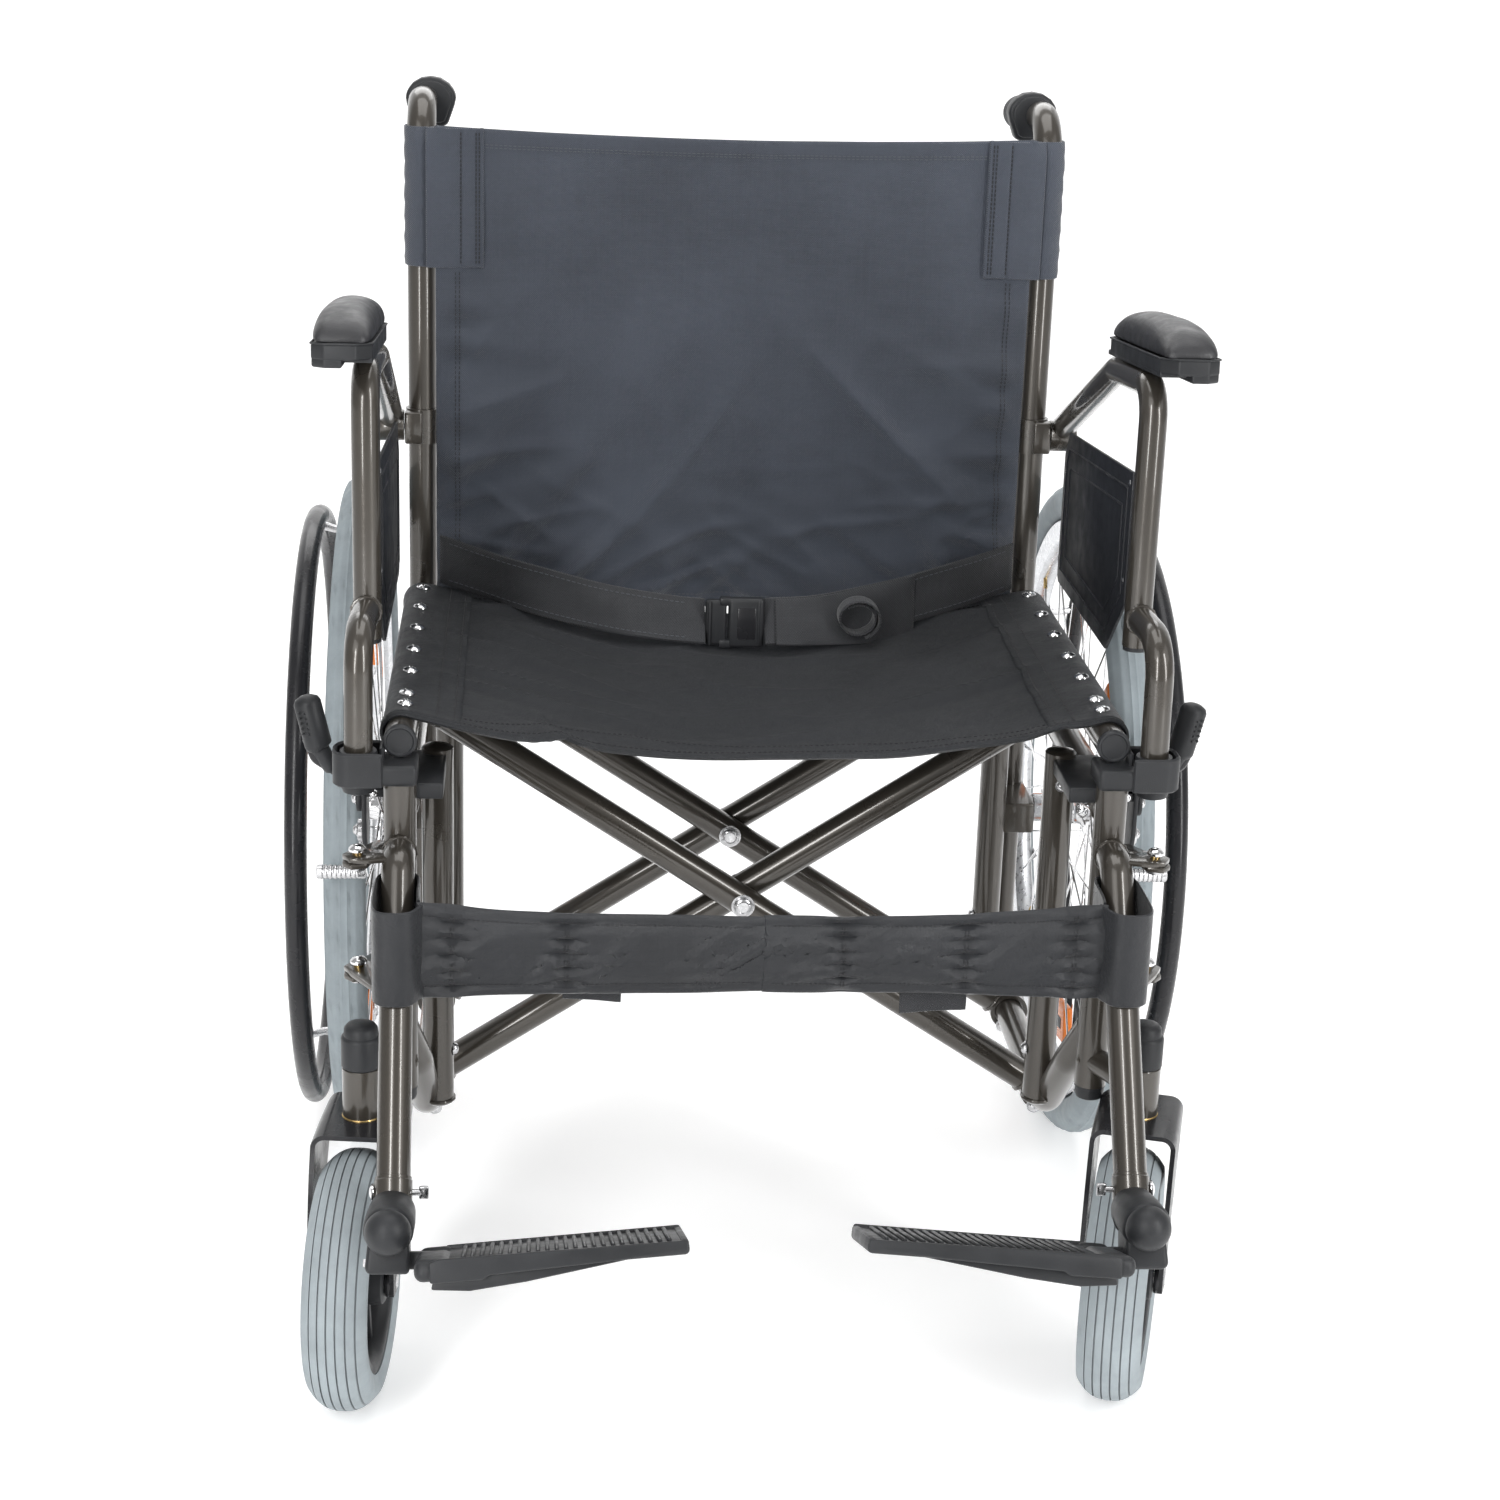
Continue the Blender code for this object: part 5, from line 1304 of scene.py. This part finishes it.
def seat_section(v):
    """(x, z) across the seat: wrapped over both rails and sagging between them."""
    edge_x, edge_z = RAIL_WRAP[-1]
    centre_z = 0.4805 + 0.007 * v
    half = RAIL_WRAP + [(edge_x * (1 - k / 26),
                         centre_z + (edge_z - centre_z) * (1 - k / 26) ** 2.05)
                        for k in range(1, 27)]
    return half + [(-x, z) for x, z in half[:-1][::-1]]


SEAT_RUN = [0.0]               # distance along the front section
for _a, _b in zip(seat_section(0), seat_section(0)[1:]):
    SEAT_RUN.append(SEAT_RUN[-1] + math.dist(_a, _b))


def seat_surface(u, v):
    line = seat_section(v)
    d = u * SEAT_RUN[-1]
    i = 0
    while i < len(SEAT_RUN) - 2 and SEAT_RUN[i + 1] < d:
        i += 1
    k = (d - SEAT_RUN[i]) / (SEAT_RUN[i + 1] - SEAT_RUN[i])
    x = line[i][0] + (line[i + 1][0] - line[i][0]) * k
    z = line[i][1] + (line[i + 1][1] - line[i][1]) * k
    gap = 0.262 - abs(x)
    free = max(0.0, min(1.0, gap / 0.05))
    # dimples at the screws, draws running from the rails, and a ripple on the front hem
    w = 0.0
    for q in SCREWS:
        w -= (0.0022 * math.exp(-(((v - q) * SEAT_DEPTH) / 0.011) ** 2)
              * math.exp(-max(0.0, gap) / 0.035))
    way = 1 if x > 0 else -1
    pull = ease(abs(x), 0.04, 0.17)
    w += 0.0088 * pull * crease(x, v * SEAT_DEPTH, way * 1.15, 20, 4.5, 3.0 + way)
    w += 0.006 * (1 - pull) * crease(x, v * SEAT_DEPTH, 1.45, 15, 4.0, 9.0)
    w += 0.004 * rumple(x, v * 0.39, 0.3, 7.5, 2.0) + 0.0014 * rumple(x, v * 0.39, 0.9, 19.0, 5.0)
    z += free * (w - 0.0012 * math.exp(-v / 0.035) * math.sin(x * 22))
    y = SEAT_Y0 + SEAT_DEPTH * v + 0.0018 * free * math.sin(x * 16 + 0.4) * (1 - 2 * v)
    return (x, y, z)


def seat_thick(u, v):
    hem = max(math.exp(-(v / 0.052) ** 6), math.exp(-((1 - v) / 0.04) ** 4))
    return 0.0021 + 0.0026 * hem


def seat_u_below(limit):
    """The first step of u from the +X edge where x is under limit."""
    return next(k / 400 for k in range(400) if seat_surface(k / 400, 0.5)[0] < limit)


def seat():
    sling = Piece("seat_sling")
    sling.sheet(seat_surface, 176, 104, seat_thick, SEATCLOTH)
    # doubled strip along each rail, from over the tube to its raised inner edge
    inner, outer = seat_u_below(0.233), seat_u_below(FRAME_X + 0.011)
    for flip in (False, True):
        def strip(u, v, flip=flip):
            along = outer + (inner - outer) * u
            p = Vector(seat_surface(1 - along if flip else along, 0.006 + 0.988 * v))
            rail = Vector((math.copysign(FRAME_X, p.x), p.y, SEAT_Z))
            normal = (p - rail).normalized() if abs(p.x) > FRAME_X - 0.002 else UP
            return p + normal * 0.0021
        sling.sheet(strip, 14, 90, 0.0016, SEATCLOTH)
    for v in (0.012, 0.05, 0.952, 0.988):
        sling.stitch(seat_surface, (0.06, v), (0.94, v), 130, DARKTHREAD, 0.0001, seat_thick,
                     normal=UP)
    for back in (0.008, 0.03):
        for u in (inner - back, 1 - inner + back):
            sling.stitch(seat_surface, (u, 0.01), (u, 0.99), 92, DARKTHREAD, 0.0031, normal=UP)
    ob = sling.make(50)
    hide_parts("seat_sling")
    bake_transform(ob)


def seat_screws(side, body):
    screws = Piece("seat_screws", side)
    a = math.radians(98)
    normal = Vector((math.cos(a), 0, math.sin(a)))
    for v in SCREWS:
        p = Vector((FRAME_X, SEAT_Y0 + SEAT_DEPTH * v, SEAT_Z)) + normal * 0.0176
        screws.bolt(p, normal, 0.0043, 0.0032, CHROME, "cup")
        screws.rod(p - normal * 0.004, p + normal * 0.0004, 0.0026, CHROME, 14)
    screws.ride(body, slot="seat_sling")


# ---------------------------------------------------------------- backrest
BACK_HALF = 0.2628
BACK_Y, BACK_SAG = 0.019, 0.02
BACK_Z0, BACK_Z1 = 0.484, 0.9195


def back_surface(u, v):
    x = -BACK_HALF + 2 * BACK_HALF * u
    k = 1 - (x / BACK_HALF) ** 2
    y = BACK_Y + (BACK_SAG + 0.006 * max(0.0, 1 - v / 0.55)) * k ** 0.9
    z = BACK_Z0 + (BACK_Z1 - BACK_Z0) * v
    # draws slant from the canes down to the lower middle, with crumples near the foot
    lower = 1 - ease(v, 0.34, 0.80)
    foot = 1 - ease(v, 0.0, 0.42)
    blend = ease(x, -0.05, 0.05)
    draws = (crease(x, z, 0.80, 15, 3.6, 2.0) * (1 - blend)
             + crease(x, z, -0.80, 15, 3.6, 7.0) * blend)
    w = -0.0118 * (0.15 + 0.85 * lower) * draws * lower
    w -= 0.0076 * foot * crease(x, z, 1.25, 30, 8.0, 5.0)
    w -= 0.0066 * foot * crease(x, z, -1.05, 26, 7.0, 12.0)
    w -= 0.005 * lower * crease(x, z, 1.45, 22, 5.0, 31.0) * ease(abs(x), 0.06, 0.20)
    w += 0.006 * lower * rumple(x, v * 0.44, 0.2, 8.0, 1.0)
    w += 0.0026 * rumple(x, v * 0.44, 0.7, 15.0, 4.0)
    pinch = math.exp(-max(0.0, BACK_HALF - 0.020 - abs(x)) / 0.030)
    w += (0.0034 * pinch * (1 - ease(v, 0.66, 0.72))
          * math.sin(v * 64 + 4 * rumple(x, v, 0, 6.0, 3.0)))
    w -= 0.0012 * crease(x, z, 0.05, 9, 1.2, 21.0)
    y += w * max(min(1.0, (BACK_HALF - abs(x)) / 0.018), 0)
    return (x, y, z - 0.008 * k * v ** 6 + 0.004 * (1 - v) * k)


def back_thick(u, v):
    side_gap = BACK_HALF - abs(-BACK_HALF + 2 * BACK_HALF * u)
    hem = max(math.exp(-((1 - v) / 0.032) ** 4), math.exp(-(v / 0.03) ** 4),
              math.exp(-(side_gap / 0.022) ** 4))
    return 0.0022 + 0.0016 * hem


def back_sling():
    sling = Piece("back_sling")
    sling.sheet(back_surface, 190, 156, back_thick, NYLON)

    def run(x0, v0, x1, v1, count, mat, radius=0.00045):
        start, end = [((x + BACK_HALF) / (2 * BACK_HALF), v) for x, v in ((x0, v0), (x1, v1))]
        sling.stitch(back_surface, start, end, count, mat, 0.0001, back_thick, radius)

    for v in (0.966, 0.972, 0.03):
        run(-0.25, v, 0.25, v, 124, THREAD)
    for way in (-1, 1):
        for x, radius in ((0.2435, 0.0005), (0.247, 0.00045)):
            run(way * x, 0.02, way * x, 0.715, 76, DARKTHREAD, radius)
    folds(sling.ride("frame_l", "back_sling", sharp=50))


def back_sleeve(side):
    """Sleeve round the cane, and the doubled flat that leads on to the panel."""
    piece = Piece("back_sleeve", side)
    z0, height, r0 = 0.7995, 0.119, 0.0143
    flat_x0, flat_x1 = 0.2232, FRAME_X - 0.005

    def sleeve(u, v):
        a = math.radians(238 - 360 * u * 0.985)
        z = z0 + height * v
        r = r0 + 0.0004 * math.sin(v * 40 + u * 9) + 0.0005 * rumple(u * 3, v * 2, 0.1, 3.0, 7.0)
        return (FRAME_X + r * math.cos(a), CANE_Y + r * math.sin(a) + cane_lean(z), z)

    def flat(u, v):
        x = flat_x0 + (flat_x1 - flat_x0) * u
        z = z0 + height * v
        y = BACK_Y + BACK_SAG * max(0.0, 1 - (x / BACK_HALF) ** 2) ** 0.9
        y = y * (1 - u ** 3) + (CANE_Y - 0.0146 + cane_lean(z)) * u ** 3
        groove = 0.0012 * math.exp(-((x - 0.2423) / 0.0016) ** 2)
        return (x, y - 0.0036 + groove + 0.0007 * rumple(x * 12, v * 2, 0.4, 2.0, 8.0), z)

    piece.sheet(sleeve, 56, 20, 0.0017, NYLON)
    piece.sheet(flat, 44, 28, lambda u, v: 0.002 + 0.0009 * math.exp(-(u / 0.05) ** 4), NYLON)
    for x in (0.2262, 0.229, 0.2423):
        u = (x - flat_x0) / (flat_x1 - flat_x0)
        piece.stitch(flat, (u, 0.02), (u, 0.98), 30, DARKTHREAD, 0.0012, radius=0.00055)
    piece.ride(f"frame_{side}", slot="back_sling")


# ---------------------------------------------------------------- lap belt
# (x, y) of the belt's centre line, from the frame in to the buckle
BELT_PATH = [(0.26 - 0.233 * i / 24, -0.006 - 0.1 * math.sin(math.pi / 2 * i / 24))
             for i in range(25)]


def belt(side):
    s = SIGN[side]
    strap = Piece("belt", side)

    def band(u, v):
        i = min(int(u * 24), 23)
        t = u * 24 - i
        x, y = [a + (b - a) * t for a, b in zip(BELT_PATH[i], BELT_PATH[i + 1])]
        tilt = math.radians(4 + 34 * ease(u, 0.10, 0.85))
        h = 0.0415 * (v - 0.5)
        y += h * math.sin(tilt) + 0.0011 * math.sin(u * 17 + v * 2 + s)
        y += 0.0016 * rumple(x * 6, v, s, 3.0, 2.0)
        return (x, y, 0.5125 + 0.028 * (abs(x) / 0.26) ** 1.6 + h * math.cos(tilt))

    def spare(u, v):
        p = Vector(band(0.42 + 0.54 * u, v))
        return (p.x, p.y - 0.0034 - 0.0016 * math.sin(u * 3.1), p.z - 0.012 * (1 - u) * (1 - v))

    def roll(u, v):
        a = math.radians(-70 + 560 * u)
        r = 0.0195 - 0.006 * u
        return (0.108 + r * math.cos(a), -0.1215 + 0.019 * v + 0.004 * u,
                0.5195 + r * math.sin(a) * 0.9)

    strap.sheet(band, 60, 8,
                lambda u, v: 0.002 + 0.0008 * math.exp(-(min(v, 1 - v) / 0.1) ** 4), WEB)
    for v in (0.1, 0.9):
        strap.stitch(band, (0.03, v), (0.93, v), 44, THREAD, 0.0013, radius=0.0004)
    if side == "r":
        # the spare end, folded back over the belt and then rolled
        strap.sheet(spare, 30, 8, 0.002, WEB)
        strap.sheet(roll, 70, 8, 0.0018, WEB)
    folds(strap.ride("frame_l", f"belt_{side}", sharp=50))


def belt_buckle():
    buckle = Piece("belt_buckle")
    y = -0.1062
    # lo x, front, lo z, hi x, rear, hi z (front and rear from y), material, bevel, segments
    for x0, front, z0, x1, rear, z1, mat, bevel, seg in (
            (-0.006, 0.0065, 0.4905, 0.0255, 0.0055, 0.535, BLACK, 0.0032, 3),
            (-0.0262, 0.0045, 0.4925, -0.0075, 0.004, 0.533, BLACK, 0.0026, 3),
            (-0.014, 0.0058, 0.49, -0.003, 0.0045, 0.4975, BLACK, 0.002, 2),
            (-0.014, 0.0058, 0.528, -0.003, 0.0045, 0.5355, BLACK, 0.002, 2),
            (0.002, 0.0076, 0.4985, 0.018, -0.0055, 0.527, GLOSS, 0.001, 2)):
        buckle.box((x0, y - front, z0), (x1, y + rear, z1), mat, bevel, seg)
    for x in (-0.0225, 0.0205):
        buckle.tube([(x, y - 0.0058, 0.4935), (x, y - 0.0058, 0.532)], 0.0016, BLACK, 12,
                    dome=0.0012)
    folds(buckle.ride("frame_l", "belt_buckle"))


SIDE_PIECES = (
    frame_tubes, frame_hardware, plugs, saddle, push_grip, brake_mount, brake_lever, brake_shoe,
    tyre, rim, wheel_hub, reflectors, handrim, axle, caster_fork, caster_tyre, caster_hub,
    armrest_tube, armrest_base, armrest_pad, side_panel, hanger, foot_post, foot_lug, footplate,
    calf_strap)
for _side in ("l", "r"):
    for build in SIDE_PIECES:
        build(_side)
brace("a", "r")
brace("b", "l")
pivots()
seat()
seat_screws("l", "brace_b")
seat_screws("r", "brace_a")
back_sling()
back_sleeve("l")
back_sleeve("r")
belt("l")
belt("r")
belt_buckle()


# ---------------------------------------------------------------- stage, light, camera
def backdrop():
    sh = Shader("backdrop")
    colour = sh.mix(sh.patches(scale=0.6, detail=3, span=(0.3, 0.7)), (0.93,) * 3, (0.96,) * 3)
    return sh.finish(Base_Color=colour, Roughness=0.9, Specular_IOR_Level=0.1,
                     Emission_Color=colour, Emission_Strength=0.29)


def stage():
    """A floor that curves up into a wall behind the chair."""
    bend_y, bend_r = 2.2, 1.6
    curve = [(bend_y + bend_r * math.sin(a), bend_r - bend_r * math.cos(a))
             for a in map(math.radians, range(0, 91, 6))]
    line = [(-6, 0)] + curve + [(bend_y + bend_r, 6.0)]
    bm = bmesh.new()
    near, far = [[bm.verts.new((x, y, z - 0.0004)) for y, z in line] for x in (-7, 7)]
    for i in range(len(line) - 1):
        bm.faces.new((near[i], far[i], far[i + 1], near[i + 1]))
    me = bpy.data.meshes.new("sweep")
    bm.to_mesh(me)
    bm.free()
    for p in me.polygons:
        p.use_smooth = True
    me.materials.append(backdrop())
    ob = bpy.data.objects.new("sweep", me)
    bpy.context.scene.collection.objects.link(ob)


def area(name, place, target, size, power):
    light = bpy.data.lights.new(name, "AREA")
    light.shape = "RECTANGLE"
    light.size, light.size_y = size
    light.energy = power
    ob = bpy.data.objects.new(name, light)
    bpy.context.scene.collection.objects.link(ob)
    ob.location = place
    aim = Vector(target) - Vector(place)
    ob.rotation_euler = aim.to_track_quat("-Z", "Y").to_euler()


def studio_world():
    """White surroundings, brighter to the camera than as a source of light."""
    ambient, camera_extra = 0.42, 0.56
    world = bpy.data.worlds.new("studio")
    world.use_nodes = True
    tree = world.node_tree
    background = tree.nodes["Background"]
    background.inputs["Color"].default_value = (1.0, 1.0, 1.0, 1.0)
    background.inputs["Strength"].default_value = ambient
    rays = tree.nodes.new("ShaderNodeLightPath")
    strength = tree.nodes.new("ShaderNodeMath")
    strength.operation = "MULTIPLY_ADD"
    strength.inputs[1].default_value = camera_extra
    strength.inputs[2].default_value = ambient
    tree.links.new(rays.outputs["Is Camera Ray"], strength.inputs[0])
    tree.links.new(strength.outputs[0], background.inputs["Strength"])
    bpy.context.scene.world = world


def camera():
    yaw, pitch, roll = 0.0811, 0.3163, 0.033       # radians
    look = Vector((math.sin(yaw) * math.cos(pitch), math.cos(yaw) * math.cos(pitch),
                   -math.sin(pitch)))
    level = Vector((math.cos(yaw), -math.sin(yaw), 0))
    up = level.cross(look)
    right = level * math.cos(roll) + up * math.sin(roll)
    up = up * math.cos(roll) - level * math.sin(roll)
    data = bpy.data.cameras.new("camera")
    data.sensor_width = 36.0
    data.lens = 66.492
    data.clip_start = 0.05
    ob = bpy.data.objects.new("camera", data)
    bpy.context.scene.collection.objects.link(ob)
    pose = Matrix((right, up, -look)).transposed().to_4x4()
    pose.translation = Vector((-0.173, -2.4455 + AXLE_SHIFT, 1.1625))
    ob.matrix_world = pose
    bpy.context.scene.camera = ob


stage()
# name, place, target, (width, height), power in watts
for lamp in (
        ("strip_left", (-1.37, -2.75, 1.45), (-0.1, -0.2, 0.5), (0.42, 2.5), 54),
        ("strip_right", (1.80, -2.00, 1.45), (0.1, -0.2, 0.5), (0.36, 2.5), 44),
        ("key", (-1.5, -2.2, 3.0), (0, 0, 0.5), (2.2, 1.6), 17),
        ("fill", (2.6, -1.2, 2.4), (0, 0, 0.5), (1.6, 1.8), 7),
        ("top", (0, 0.2, 3.4), (0, 0, 0.4), (2.6, 2.0), 40),
        ("back", (0, 2.2, 2.4), (0, 0, 0.5), (2.6, 1.2), 20)):
    area(*lamp)
studio_world()
bpy.context.scene.view_settings.view_transform = "Standard"
camera()
